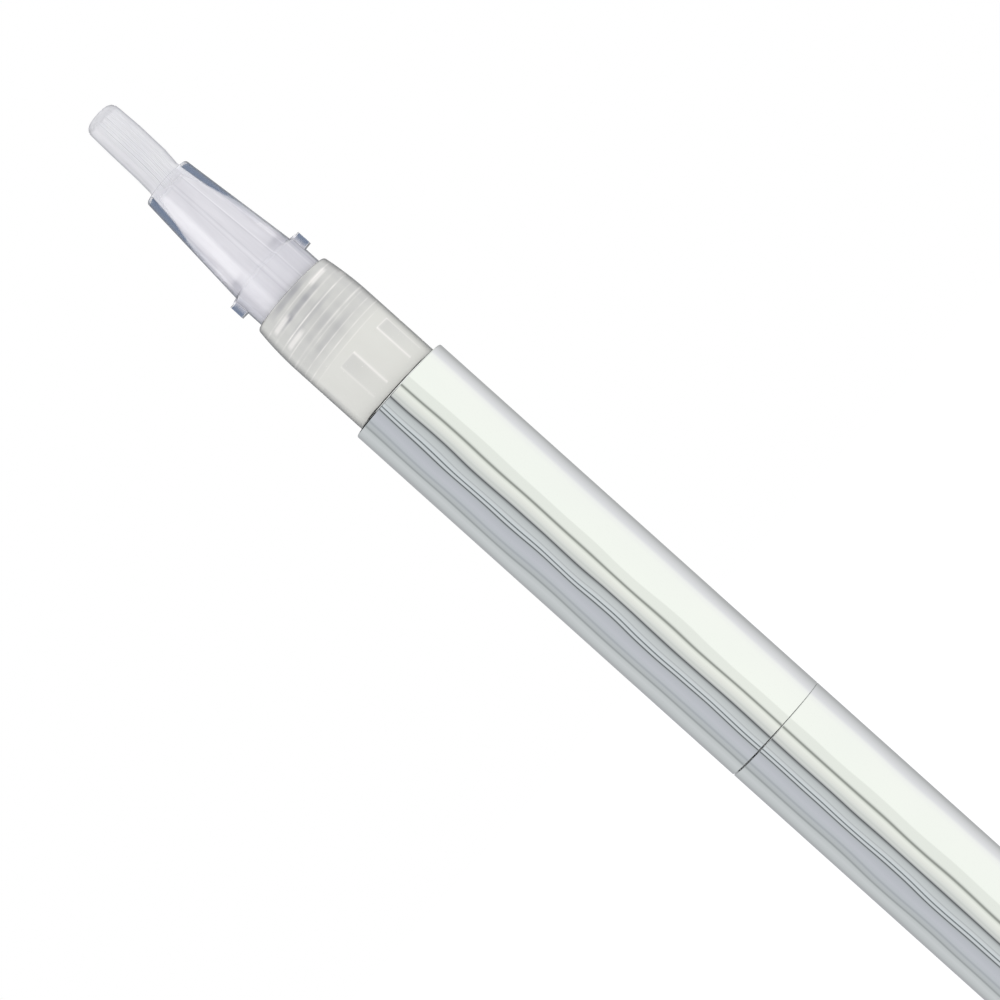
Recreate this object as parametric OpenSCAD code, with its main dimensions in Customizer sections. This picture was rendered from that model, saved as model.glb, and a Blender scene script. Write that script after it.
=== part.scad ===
// Twist-up nail oil pen with a brush tip, standing on its tail, in millimetres.
// Z is the pen's axis and points to the brush. The origin is the middle of the flat end of the tail.
// Turning the knob turns the screw rod through its two flats. The fixed nut drives the rod forward,
// and the rod pushes the piston, which presses the oil through the feed tube into the brush.

/* [Bright sleeves] */
// Diameter of the front sleeve and of the knob
barrel_d = 11; // [10.8:0.1:13]
// Wall of the front sleeve and of the knob's sleeve
sleeve_wall = 0.5; // [0.3:0.05:0.6]
// Length of the front sleeve
front_sleeve_l = 44.6; // [44:0.1:70]
// Length of the knob, from the flat tail to its front edge
knob_l = 46; // [44:0.5:60]
// Open seam between the knob and the front sleeve
seam_w = 0.2; // [0.1:0.05:0.3]
// Rounding on the edges of both sleeves
sleeve_edge_r = 0.15; // [0.05:0.05:0.25]

/* [Frosted collar] */
// Step from the sleeve down to the collar, where a cap's wall goes
rim_step = 0.775; // [0.65:0.025:0.85]
// Wall of the collar around the reservoir tube
collar_wall = 0.605; // [0.58:0.005:0.7]
// Width of the collar's face around the ferrule
face_ring_w = 0.505; // [0.4:0.005:0.6]
// Length of collar that shows in front of the sleeve
collar_l = 12.8; // [12:0.1:16]
// Length of collar hidden inside the sleeve
collar_skirt_l = 6; // [4:0.5:12]
// Length of the rounded shoulder behind the collar's face
shoulder_l = 4.9; // [3:0.1:6]
// How much the shoulder draws in, measured on the radius
shoulder_drop = 0.4; // [0.1:0.05:0.45]
// Rounding of the collar's front corner
collar_corner_r = 0.3; // [0.1:0.05:0.4]
// Width of the shadow groove under the sleeve's rim
rim_groove_w = 0.7; // [0.4:0.1:1.2]
// Depth of the shadow groove, measured on the radius
rim_groove_h = 0.22; // [0.1:0.02:0.3]
// Thickness of the ledge inside the collar that stops the ferrule and the reservoir
ledge_t = 0.9; // [0.5:0.1:1.5]
// How far the ledge stands in from the ferrule's bore
ledge_h = 0.43; // [0.2:0.01:0.6]

/* [Clear ferrule] */
// Length of the ferrule in front of the collar
ferrule_l = 14.9; // [13:0.1:18]
// Width of the ferrule's seat on the collar's face
seat_w = 0.12; // [0.08:0.02:0.2]
// Length of the plain base
ferrule_base_l = 3.1; // [2.8:0.1:4]
// Step from the plain base to the cone
base_step = 0.27; // [0.2:0.01:0.4]
// How much the cone narrows to the mouth, measured on the radius
cone_drop = 0.98; // [0.7:0.02:1.1]
// Rounding of the mouth's outer corner
mouth_corner_r = 0.25; // [0.1:0.05:0.4]
// Wall of the mouth
mouth_wall = 0.8; // [0.6:0.02:0.9]
// Length of the mouth's tapered bore
throat_l = 4.9; // [3:0.1:6]
// How much the bore narrows from the socket's step to that taper, measured on the radius
throat_draft = 0.08; // [0.02:0.01:0.2]
// Height of the step at the socket's end, measured on the radius
socket_step_h = 0.6; // [0.4:0.05:0.7]
// Length of the sloping step at the socket's end
socket_step_l = 2.4; // [0.5:0.1:4]
// Depth of the socket in front of the collar's face
socket_out_l = 3.9; // [3.6:0.1:4.4]
// Height of a side lug, measured from the plain base
lug_h = 0.665; // [0.4:0.005:0.9]
// Length of a lug along the pen
lug_l = 1.6; // [1:0.1:2]
// Width of a lug across the pen
lug_w = 1.8; // [1:0.1:2.6]
// Distance from the collar's face to the lugs
lug_back = 1.72; // [1:0.02:2]
// Wall of the plug inside the collar
plug_wall = 0.6; // [0.5:0.05:0.7]
// Length of the plug inside the collar
plug_l = 6.7; // [6.5:0.1:8]
// Number of snap rings around the plug
snap_n = 5; // [2:1:5]
// Spacing of the snap rings
snap_pitch = 1.25; // [1:0.05:1.3]
// Section radius of a snap ring
snap_r = 0.16; // [0.08:0.01:0.2]

/* [Brush and feed] */
// Length of brush in front of the ferrule's mouth
brush_out_l = 8.5; // [6:0.1:12]
// How much the bundle swells in front of the mouth, measured on the radius
brush_swell = 0.09; // [0:0.01:0.3]
// How much the bundle draws in behind the mouth, measured on the radius
brush_waist_h = 0.07; // [0.02:0.01:0.3]
// How much the trimmed end is smaller than the mouth's bore, measured on the radius
brush_taper = 0.02; // [0:0.01:0.5]
// Wall of the bush around the bundle
bush_wall = 1.16; // [0.8:0.02:1.3]
// How far the outermost bristles end behind the middle ones
brush_dome_l = 0.75; // [0.2:0.05:2.5]
// Number of bristles
bristle_n = 330; // [300:10:340]
// Thickness of a bristle
bristle_d = 0.15; // [0.1:0.01:0.16]
// Radial gap around the fused root disc
root_disc_gap = 0.5; // [0.1:0.05:0.8]
// Thickness of the root disc
root_disc_t = 0.75; // [0.5:0.05:1]
// Outside diameter of the feed tube
feed_d = 1; // [0.8:0.05:1.1]
// Bore of the feed tube
feed_bore_d = 0.6; // [0.3:0.05:0.7]
// How far the feed tube reaches out of the root disc
feed_out_l = 7.9; // [4:0.1:10]
// How far the feed tube reaches into the feed plug
feed_in_l = 3.8; // [2:0.1:4]
// Length of the feed plug
feed_plug_l = 5.75; // [4.5:0.05:5.8]
// Width of the rim around the feed plug's funnel
funnel_rim = 0.77; // [0.4:0.01:1.5]
// Depth of the funnel
funnel_l = 1.6; // [0.5:0.1:1.9]

/* [Reservoir] */
// Wall of the reservoir tube
tube_wall = 0.52; // [0.5:0.01:0.6]
// Length of the flange behind the front sleeve
flange_l = 2.8; // [2:0.1:5]
// Length of the spigot that the knob turns on
spigot_l = 10.2; // [9.8:0.1:14]
// Width of the spigot's snap bead
bead_w = 1; // [0.6:0.1:1.4]
// Height of the snap bead, measured on the radius
bead_h = 0.25; // [0.1:0.05:0.3]
// Distance from the spigot's end to the bead
bead_back = 1; // [0.4:0.1:1.5]
// Number of centring ribs inside the front sleeve
rib_n = 2; // [1:1:3]
// Width of a centring rib
rib_w = 1.2; // [0.6:0.1:2]
// Number of snap keys that lock the collar on the tube
key_n = 6; // [2:1:8]
// Length of a snap key
key_l = 4; // [2:0.1:4.6]
// Width of a snap key
key_w = 1.5; // [0.8:0.1:2]
// Height of a snap key, measured on the radius
key_h = 0.28; // [0.1:0.02:0.3]
// Distance from the tube's front end to the keys
key_back = 0.2; // [0.1:0.1:0.6]
// Turn of the keys about the axis, from the front of the pen towards its left side
key_turn = 12.3; // [0:0.1:60]
// Thickness of the lip that stops the nut
nut_lip_t = 0.55; // [0.3:0.05:1]
// Gap between that lip and the piston of a full reservoir
full_gap = 1.2; // [0.6:0.1:3]

/* [Screw drive] */
// Advance of the piston for one turn of the knob
lead = 2.5; // [2.3:0.1:3]
// Height of the rod's thread
thread_h = 0.38; // [0.3:0.01:0.45]
// Free length between the rod and the tail plug's floor
rod_back_gap = 1.8; // [0.5:0.1:3]
// Depth of the rod's two flats below its root
flat_depth = 0.17; // [0.1:0.01:0.3]
// Width of a thread tooth at the root, along the pen
tooth_root_w = 0.64; // [0.4:0.02:0.7]
// Width of a thread tooth at its crest, along the pen
tooth_crest_w = 0.36; // [0.2:0.02:0.4]
// How much smaller the snap head is than the rod's root, measured on the radius
head_draw = 0.12; // [0.1:0.01:0.3]
// Step from the snap head to the rod's neck
head_step = 0.5; // [0.3:0.05:0.7]
// Thickness of the snap head
head_t = 1.4; // [1:0.1:1.6]
// Length of the fixed nut
nut_l = 6.8; // [6:0.1:8]
// Step from the reservoir's bore down to the nut's seat
nut_step = 0.3; // [0.25:0.05:0.5]
// Turns of thread inside the nut
nut_turns = 1.5; // [1:0.25:2]
// Width of the two keys that stop the nut turning
nut_key_w = 0.9; // [0.5:0.1:1.2]
// Height of those keys, measured on the radius
nut_key_h = 0.2; // [0.1:0.02:0.24]

/* [Piston] */
// Length of the piston
piston_l = 9.2; // [8.6:0.1:11]
// Radial gap between the piston's hard flanges and the bore
flange_gap = 0.3; // [0.2:0.05:0.5]
// Wall of the piston around the snap head
piston_wall = 0.9; // [0.7:0.05:1.1]
// Thickness of a piston flange
piston_flange_t = 0.8; // [0.5:0.1:1.1]
// Length of the piston's nose
nose_l = 0.6; // [0.3:0.1:1]
// Diameter of the nose at its end
nose_d = 2.4; // [1:0.1:5]
// Width of a sealing lip
lip_w = 0.9; // [0.4:0.1:1.6]
// Depth of the seal's waist between its lips
waist_h = 0.35; // [0.1:0.05:0.6]

/* [Ratchet] */
// Number of clicks in one turn
ratchet_n = 12; // [8:1:16]
// Length of the toothed ring
ratchet_l = 3.35; // [2:0.05:3.6]
// Wall of the toothed ring outside its teeth
ratchet_wall = 0.22; // [0.15:0.01:0.25]
// Depth of a tooth
ratchet_tooth_h = 0.25; // [0.1:0.01:0.3]
// Number of spring arms
arm_n = 3; // [2:1:4]
// Thickness of a spring arm
arm_t = 0.18; // [0.12:0.02:0.22]
// Angle that a spring arm spans
arm_sweep = 76; // [40:2:80]
// Width of the spring along the pen
arm_w = 1.2; // [0.6:0.1:2]
// Thickness of the spring's hub
hub_t = 0.16; // [0.1:0.02:0.18]
// Gap between the spring's hub and its arms
arm_room = 0.09; // [0.05:0.01:0.15]
// Height of the pawl on the end of an arm
pawl_h = 0.04; // [0.02:0.01:0.05]
// Thickness of the stop ring behind the spring
spring_stop_t = 0.36; // [0.2:0.02:0.6]

/* [Knob] */
// Wall of the knob's core around the drive tube
core_wall = 1.54; // [1.4:0.02:1.6]
// Wall of the knob's core around the spigot
cup_wall = 0.72; // [0.6:0.02:0.75]
// Wall of the drive tube's neck inside the ratchet
drive_neck_wall = 0.4; // [0.3:0.02:0.45]
// Length of the neck
drive_neck_l = 5.7; // [5.2:0.1:6]
// Length of the flat-sided part of the drive tube's bore
drive_flat_l = 10.4; // [6:0.1:14]
// Width of the drive tube's two keys
drive_key_w = 1.2; // [0.8:0.1:2]
// Height of those keys, measured on the radius
drive_key_h = 0.5; // [0.2:0.05:0.7]
// Length of those keys
drive_key_l = 22; // [8:1:24]
// Step from the knob's sleeve in to the end plug's flange
plug_flange_step = 0.15; // [0.05:0.05:0.4]
// Thickness of the end plug's flange
plug_flange_t = 0.8; // [0.7:0.1:1.6]
// Rounding of the flange's edge
plug_edge_r = 0.35; // [0.1:0.05:0.6]
// Length of the end plug's spigot
plug_spigot_l = 4.25; // [3:0.25:5]
// Wall of the end plug's spigot
plug_spigot_wall = 1; // [0.6:0.1:1.2]
// Depth of the plug's floor inside its spigot
plug_floor_t = 0.6; // [0.3:0.1:1]
// Setback of the knob's core behind the knob's front edge
core_setback = 0.1; // [0.05:0.05:0.2]
// Thickness of the thrust washer
washer_t = 0.4; // [0.2:0.05:0.6]
// Radial gap between the thrust washer and the knob's sleeve
washer_gap = 0.15; // [0.1:0.05:0.3]
// Section diameter of the drag ring
drag_d = 0.52; // [0.3:0.02:0.54]
// Distance from the flange to the drag ring's middle
drag_back = 2.65; // [1.5:0.05:3]

/* [Clearances] */
// Radial gap of pieces pressed or glued together
fit_gap = 0.03; // [0.02:0.01:0.04]
// Radial gap of pieces that run on each other
run_gap = 0.05; // [0.03:0.01:0.06]
// Gap between faces that meet along the pen
face_gap = 0.05; // [0.02:0.01:0.1]
// Radial gap between the rod and what it passes through
rod_gap = 0.1; // [0.06:0.01:0.12]
// Radial gap between the spring's pawls and the tips of the ratchet's teeth
click_gap = 0.1; // [0.05:0.01:0.12]
// Free length behind the rod and in front of the spigot's end
end_gap = 0.3; // [0.1:0.05:0.6]

/* [Hidden] */
$fn = 96;

// Overrun of every cut
cut_over = 0.5;
// Steps of a rounded corner in an outline
arc_steps = 6;
// Angle between neighbouring bristles around the bundle
golden_angle = 137.50776405;
// Angle over which the steep side of a ratchet tooth rises
tooth_rise = 1;

// Radii of the outside, from the barrel in to the ferrule's mouth
barrel_r = barrel_d / 2;
sleeve_in_r = barrel_r - sleeve_wall;
core_r = sleeve_in_r - fit_gap;
collar_r = barrel_r - rim_step;
nose_r = collar_r - shoulder_drop;
base_r = nose_r - face_ring_w;
plug_r = base_r - seat_w;
plug_bore_r = plug_r + fit_gap;
socket_r = plug_r - plug_wall;
socket_fit_r = socket_r - fit_gap;
cone_bore_r = socket_r - socket_step_h;
throat_r = cone_bore_r - throat_draft;
cone_r = base_r - base_step;
mouth_r = cone_r - cone_drop;
mouth_bore_r = mouth_r - mouth_wall;

// Radii of the reservoir and of the knob that turns on its spigot
tube_r = collar_r - collar_wall;
tube_bore_r = tube_r - tube_wall;
lip_r = tube_bore_r - run_gap;
nut_seat_r = tube_bore_r - nut_step;
nut_r = nut_seat_r - fit_gap;
spigot_bore_r = core_r - cup_wall;
spigot_r = spigot_bore_r - run_gap;
drive_bore_r = core_r - core_wall;
drive_r = drive_bore_r - fit_gap;

// Radii of the ratchet, then of the drive tube's neck in it and of the rod in that
ratchet_seat_r = tube_bore_r;
ratchet_tip_r = ratchet_seat_r - fit_gap - ratchet_wall - ratchet_tooth_h;
pawl_r = ratchet_tip_r - click_gap;
arm_out_r = pawl_r - pawl_h;
arm_in_r = arm_out_r - arm_t;
hub_out_r = arm_in_r - arm_room;
hub_in_r = hub_out_r - hub_t;
drive_neck_r = hub_in_r - fit_gap;
rod_hole_r = drive_neck_r - drive_neck_wall;
rod_r = rod_hole_r - rod_gap;
rod_root_r = rod_r - thread_h;
rod_flat_x = rod_root_r - flat_depth;
head_r = rod_root_r - head_draw;
neck_r = head_r - head_step;
piston_body_r = head_r + rod_gap + piston_wall;

// Radii of the brush and its feed
feed_r = feed_d / 2;
bush_bore_r = socket_fit_r - bush_wall;
drag_r = drag_d / 2;

// Places along the pen, from the tail to the tip
seam_z = knob_l;
core_front_z = seam_z - core_setback;
flange_z = core_front_z + washer_t + 2 * face_gap;
flange_front_z = flange_z + flange_l;
spigot_z = flange_z - spigot_l;
core_ledge_z = spigot_z - end_gap;
rim_back_z = seam_z + seam_w;
rim_z = rim_back_z + front_sleeve_l;
collar_z = rim_z + collar_l;
plug_z = collar_z - plug_l;
ledge_front_z = plug_z - face_gap;
ledge_back_z = ledge_front_z - ledge_t;
tube_front_z = ledge_back_z - face_gap;
mouth_z = collar_z + ferrule_l;
tip_z = mouth_z + brush_out_l;
socket_end_z = collar_z + socket_out_l;

// The brush and its feed sit in the ferrule's socket, from its end back
bush_front_z = socket_end_z - 2 * face_gap;
disc_front_z = collar_z + root_disc_t / 2;
disc_back_z = disc_front_z - root_disc_t;
feed_plug_front_z = disc_back_z - face_gap;
feed_plug_back_z = feed_plug_front_z - feed_plug_l;
feed_front_z = disc_front_z + feed_out_l;
feed_back_z = feed_plug_front_z - feed_in_l;

// The nut seats against a lip at the back of the reservoir
reservoir_z = flange_front_z;
nut_front_z = reservoir_z - nut_lip_t - face_gap;
nut_back_z = nut_front_z - nut_l;
nut_lip_r = (nut_r + rod_hole_r) / 2;
ratchet_seat_z = nut_back_z - face_gap;
ratchet_front_z = ratchet_seat_z - face_gap;
ratchet_back_z = ratchet_front_z - ratchet_l;

// The rod and the piston, with the reservoir full
piston_z = reservoir_z + full_gap;
piston_front_z = piston_z + piston_l;
rod_front_z = piston_z - 2 * rod_gap;
plug_floor_z = plug_flange_t + plug_floor_t;
rod_back_z = plug_floor_z + rod_back_gap;
head_gap = rod_gap;
head_z = piston_z + piston_flange_t + head_t + head_gap;
head_front_z = head_z + head_t;
thread_pitch = lead / 2;
thread_z = (nut_back_z + nut_front_z) / 2;

// The drive tube stands on the end plug and ends behind the nut
plug_spigot_z = plug_flange_t + plug_spigot_l;
drive_back_z = plug_spigot_z + face_gap;
drive_front_z = ratchet_seat_z - end_gap;
drive_shoulder_z = drive_front_z - drive_neck_l;
spring_z = ratchet_back_z + end_gap;

// Points of a round corner in an outline, on a circle of radius r around [x, y]
function arc(x, y, r, from, to) =
    [
        for (i = [0 : arc_steps])
            let (a = from + (to - from) * i / arc_steps)
            [x + r * cos(a), y + r * sin(a)]
    ];

// A point of a helix: radius, angle and height
function on_helix(r, angle, z) = [r * cos(angle), r * sin(angle), z + lead * angle / 360];

// A plain tube between two heights
module pipe(r_out, r_in, z0, z1) {
    difference() {
        translate([0, 0, z0]) cylinder(r = r_out, h = z1 - z0);
        translate([0, 0, z0 - cut_over]) cylinder(r = r_in, h = z1 - z0 + 2 * cut_over);
    }
}

// A plain rod between two heights
module bar(r, z0, z1) {
    translate([0, 0, z0]) cylinder(r = r, h = z1 - z0);
}

// A bright sleeve with rounded outer edges
module sleeve(z0, z1) {
    e = sleeve_edge_r;
    rotate_extrude() polygon(concat(
        [[sleeve_in_r, z1], [sleeve_in_r, z0]],
        arc(barrel_r - e, z0 + e, e, -90, 0),
        arc(barrel_r - e, z1 - e, e, 0, 90)
    ));
}

// Blocks spaced evenly around the axis, standing out to radius r
module radial_blocks(n, width, r_in, r_out, z0, z1) {
    for (i = [0 : n - 1])
        rotate([0, 0, 360 * i / n])
            translate([r_in, -width / 2, z0])
                cube([r_out - r_in, width, z1 - z0]);
}

// Keys that follow a round wall: blocks trimmed to the radius r_out
module round_keys(n, width, r_in, r_out, z0, z1) {
    intersection() {
        radial_blocks(n, width, r_in, r_out, z0, z1);
        bar(r_out, z0 - cut_over, z1 + cut_over);
    }
}

// Bristles: each runs from the root disc through rings of points and keeps its own place in the bundle,
// so that none crosses another. A ring is [height, inner radius, outer radius].
bristle_r = bristle_d / 2;
brush_rings = [
    [disc_front_z - root_disc_t / 2, feed_r + 2 * bristle_r + fit_gap, bush_bore_r - fit_gap - bristle_r],
    [feed_front_z + 2 * feed_r, feed_r + 2 * bristle_r, mouth_bore_r - brush_waist_h - bristle_r],
    [mouth_z, 0, mouth_bore_r - bristle_r - fit_gap / 2],
    [mouth_z + brush_out_l / 3, 0, mouth_bore_r + brush_swell - bristle_r],
    [tip_z, 0, mouth_bore_r - brush_taper - bristle_r]
];
ring_n = len(brush_rings);

function bristle_share(i) = (i + 0.5) / bristle_n;

// The trimmed end is a dome: the share of the bundle's area inside a bristle sets how far back it ends
function end_drop(j, share) = j == ring_n - 1 ? brush_dome_l * (1 - sqrt(1 - pow(share, 2))) : 0;

function bristle_at(i, j) =
    let (
        s = bristle_share(i),
        ring = brush_rings[j],
        r = sqrt(pow(ring[1], 2) + s * (pow(ring[2], 2) - pow(ring[1], 2))),
        a = i * golden_angle
    )
    [r * cos(a), r * sin(a), ring[0] - end_drop(j, s)];

bristle_points = [
    for (i = [0 : bristle_n - 1]) for (j = [0 : ring_n - 1]) for (k = [0 : 2])
        let (a = 120 * k + i * golden_angle)
        bristle_at(i, j) + bristle_r * [cos(a), sin(a), 0]
];
bristle_faces = [
    for (i = [0 : bristle_n - 1])
        let (b = 3 * ring_n * i)
        each concat(
            [[b, b + 1, b + 2]],
            [
                for (j = [0 : ring_n - 2]) for (k = [0 : 2])
                    let (p = b + 3 * j, q = p + 3, l = (k + 1) % 3)
                    each [[p + k, q + k, q + l], [p + k, q + l, p + l]]
            ],
            [[b + 3 * ring_n - 1, b + 3 * ring_n - 2, b + 3 * ring_n - 3]]
        )
];

// Nylon bristles fused to their root disc
module brush() {
    color("whitesmoke") union() {
        pipe(socket_r - root_disc_gap, feed_r + fit_gap, disc_back_z, disc_front_z);
        polyhedron(points = bristle_points, faces = bristle_faces, convexity = 10);
    }
}

// Ring that centres the bundle in the ferrule's socket
module brush_bush() {
    color("ghostwhite") pipe(socket_fit_r, bush_bore_r, disc_front_z + face_gap, bush_front_z);
}

// Thin tube that brings the oil into the middle of the bristles
module feed_tube() {
    color("white") pipe(feed_r, feed_bore_d / 2, feed_back_z, feed_front_z);
}

// Plug behind the brush with a funnel that leads the oil to the feed tube
module feed_plug() {
    color("gainsboro") difference() {
        bar(socket_fit_r, feed_plug_back_z, feed_plug_front_z);
        bar(feed_r + fit_gap, feed_back_z - face_gap, feed_plug_front_z + cut_over);
        bar(feed_bore_d / 2, feed_plug_back_z - cut_over, feed_plug_front_z);
        translate([0, 0, feed_plug_back_z])
            cylinder(r1 = socket_fit_r - funnel_rim, r2 = feed_bore_d / 2, h = funnel_l);
    }
}

// Clear cone with a plain base, two side lugs and a ringed plug
module ferrule() {
    seat_z = collar_z + fit_gap;
    cone_z = collar_z + ferrule_base_l + base_step;
    slope = atan(cone_drop / (mouth_z - cone_z));
    lug_span = 2 * (base_r + lug_h);
    color("lightsteelblue") difference() {
        union() {
            rotate_extrude() polygon(concat(
                [[0, mouth_z], [0, plug_z], [plug_r, plug_z], [plug_r, seat_z], [base_r, seat_z]],
                [[base_r, collar_z + ferrule_base_l], [cone_r, cone_z]],
                arc(mouth_r - mouth_corner_r, mouth_z - mouth_corner_r, mouth_corner_r, slope, 90)
            ));
            ferrule_snap_rings(snap_r);
            translate([-lug_span / 2, -lug_w / 2, collar_z + lug_back])
                cube([lug_span, lug_w, lug_l]);
        }
        ferrule_bore();
    }
}

// Snap rings around the plug; the collar's grooves are the same rings with a larger section
module ferrule_snap_rings(section_r) {
    first_z = collar_z - plug_l / 2 - (snap_n - 1) * snap_pitch / 2;
    for (i = [0 : snap_n - 1])
        translate([0, 0, first_z + i * snap_pitch])
            rotate_extrude() translate([plug_r, 0]) circle(r = section_r);
}

// Bore of the ferrule: a tapered mouth, a nearly straight throat and the brush socket
module ferrule_bore() {
    throat_z = mouth_z - throat_l;
    step_z = socket_end_z + socket_step_l;
    flare = (throat_r - mouth_bore_r) / throat_l;
    rotate_extrude() polygon([
        [0, plug_z - cut_over],
        [socket_r, plug_z - cut_over],
        [socket_r, socket_end_z],
        [cone_bore_r, step_z],
        [throat_r, throat_z],
        [mouth_bore_r - flare * cut_over, mouth_z + cut_over],
        [0, mouth_z + cut_over]
    ]);
}

// Frosted collar with a rounded shoulder, a shadow groove and a skirt inside the sleeve
module collar() {
    c = collar_corner_r;
    shoulder_r = (pow(shoulder_l, 2) + pow(shoulder_drop, 2)) / (2 * shoulder_drop);
    shoulder_angle = asin((shoulder_l - c) / shoulder_r);
    groove_z = rim_z + face_gap;
    groove_back_z = groove_z - rim_groove_w;
    skirt_z = rim_z - collar_skirt_l;
    color("lightgray") difference() {
        rotate_extrude() polygon(concat(
            [[0, collar_z], [0, skirt_z], [core_r, skirt_z], [core_r, groove_back_z]],
            [[collar_r - rim_groove_h, groove_back_z], [collar_r - rim_groove_h, groove_z]],
            [[collar_r, groove_z]],
            arc(collar_r - shoulder_r, collar_z - shoulder_l, shoulder_r, 0, shoulder_angle),
            arc(nose_r - c, collar_z - c, c, shoulder_angle, 90)
        ));
        bar(plug_bore_r, ledge_front_z, collar_z + cut_over);
        ferrule_snap_rings(snap_r + fit_gap);
        bar(plug_bore_r - ledge_h, skirt_z - cut_over, collar_z + cut_over);
        bar(tube_r + fit_gap, skirt_z - cut_over, ledge_back_z);
        tube_keys(fit_gap);
    }
}

// Snap keys on the reservoir tube; the collar's pockets are the same keys with a gap around them
module tube_keys(gap) {
    rotate([0, 0, -90 - key_turn])
        round_keys(
            key_n, key_w + 2 * gap, tube_bore_r + key_h, tube_r + key_h + gap,
            tube_front_z - key_back - key_l - gap, tube_front_z - key_back + gap
        );
}

// Reservoir tube with its flange, centring ribs, snap keys and the spigot for the knob
module reservoir_tube() {
    rib_span = rim_z - collar_skirt_l - flange_front_z;
    bead_z = spigot_z + bead_back;
    drag_z = flange_z - drag_back;
    color("gainsboro") difference() {
        union() {
            bar(tube_r, flange_z, tube_front_z);
            bar(core_r, flange_z, flange_front_z);
            bar(spigot_r, spigot_z, flange_z);
            bar(spigot_r + bead_h, bead_z, bead_z + bead_w);
            for (i = [1 : rib_n])
                let (z = flange_front_z + rib_span * i / (rib_n + 1))
                bar(core_r, z - rib_w / 2, z + rib_w / 2);
            tube_keys(0);
        }
        bar(tube_bore_r, reservoir_z, tube_front_z + cut_over);
        bar(nut_lip_r, nut_front_z, reservoir_z + cut_over);
        bar(nut_seat_r, ratchet_seat_z - cut_over, nut_front_z + face_gap);
        round_keys(
            2, nut_key_w + 2 * fit_gap, rod_hole_r, nut_seat_r + nut_key_h,
            ratchet_seat_z - cut_over, nut_front_z + face_gap
        );
        bar(ratchet_seat_r, spigot_z - cut_over, ratchet_seat_z);
        pipe(
            spigot_r + cut_over, spigot_r - drag_d - face_gap,
            drag_z - drag_r - face_gap, drag_z + drag_r + face_gap
        );
    }
}

// Bright front sleeve
module front_sleeve() {
    color("silver") sleeve(rim_back_z, rim_z);
}

// Fixed nut with a two-start thread inside and two keys outside
module rod_nut() {
    color("ivory") union() {
        pipe(nut_r, rod_hole_r, nut_back_z, nut_front_z);
        difference() {
            round_keys(2, nut_key_w, rod_hole_r, nut_r + nut_key_h, nut_back_z, nut_front_z);
            bar(rod_hole_r, nut_back_z - cut_over, nut_front_z + cut_over);
        }
        for (start = [0, 1]) nut_ridge(180 * start);
    }
}

// One start of the nut's thread: a ridge that winds inwards from the bore
module nut_ridge(turned) {
    steps = 20 * nut_turns;
    root = rod_hole_r + rod_gap;
    tip = rod_root_r + rod_gap;
    section = [
        [root, -tooth_root_w / 2], [tip, -tooth_crest_w / 2],
        [tip, tooth_crest_w / 2], [root, tooth_root_w / 2]
    ];
    span = 360 * nut_turns;
    points = [
        for (i = [0 : steps]) for (p = section)
            on_helix(p[0], span * (i / steps - 1 / 2), thread_z + p[1])
    ];
    rotate([0, 0, turned]) polyhedron(points = points, faces = ribbon_faces(steps), convexity = 10);
}

// Faces of a four-cornered section carried through a number of steps
function ribbon_faces(steps) = concat(
    [[0, 1, 2], [0, 2, 3]],
    [
        for (i = [0 : steps - 1]) for (k = [0 : 3])
            let (p = 4 * i, q = p + 4, l = (k + 1) % 4)
            each [[p + k, q + k, q + l], [p + k, q + l, p + l]]
    ],
    [[4 * steps + 2, 4 * steps + 1, 4 * steps], [4 * steps + 3, 4 * steps + 2, 4 * steps]]
);

// Ring of ratchet teeth pressed into the spigot
module ratchet_ring() {
    step = 360 / ratchet_n;
    outline = [
        for (i = [0 : ratchet_n - 1])
            each [
                ratchet_tip_r * [cos(i * step), sin(i * step)],
                (ratchet_tip_r + ratchet_tooth_h)
                    * [cos(i * step + tooth_rise), sin(i * step + tooth_rise)]
            ]
    ];
    color("whitesmoke") translate([0, 0, ratchet_back_z]) linear_extrude(ratchet_l) difference() {
        circle(r = ratchet_seat_r - fit_gap);
        polygon(outline);
    }
}

// Spring ring on the drive tube's neck: its arms are drawn pressed in to the tips of the ratchet's teeth
module click_spring() {
    post_r = hub_in_r + hub_t / 2;
    color("gold") translate([0, 0, spring_z]) linear_extrude(arm_w) {
        difference() {
            circle(r = hub_out_r);
            circle(r = hub_in_r);
        }
        for (i = [0 : arm_n - 1]) rotate(360 * i / arm_n) {
            intersection() {
                difference() {
                    circle(r = arm_out_r);
                    circle(r = arm_in_r);
                }
                polygon([
                    [0, 0], 2 * arm_out_r * [1, 0],
                    2 * arm_out_r * [cos(arm_sweep / 2), sin(arm_sweep / 2)],
                    2 * arm_out_r * [cos(arm_sweep), sin(arm_sweep)]
                ]);
            }
            translate([post_r, 0]) square([arm_in_r + arm_t / 2 - post_r, arm_t]);
            rotate(arm_sweep) polygon([
                [arm_in_r + arm_t / 2, 0], [arm_in_r + arm_t / 2, -2 * arm_t],
                [arm_out_r, -2 * arm_t], [pawl_r, -arm_t / 2], [arm_out_r, 0]
            ]);
        }
    }
}

// Washer between the knob's core and the reservoir's flange
module thrust_washer() {
    color("gainsboro") pipe(
        sleeve_in_r - washer_gap, spigot_bore_r, core_front_z + face_gap, flange_z - face_gap
    );
}

// Rubber ring in the spigot's groove that gives the knob its smooth drag
module drag_ring() {
    color("darkslategray") translate([0, 0, flange_z - drag_back])
        rotate_extrude() translate([spigot_r - drag_r, 0]) circle(r = drag_r);
}

// Bright sleeve of the knob
module knob_sleeve() {
    color("silver") sleeve(plug_flange_t + face_gap, seam_z);
}

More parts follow.
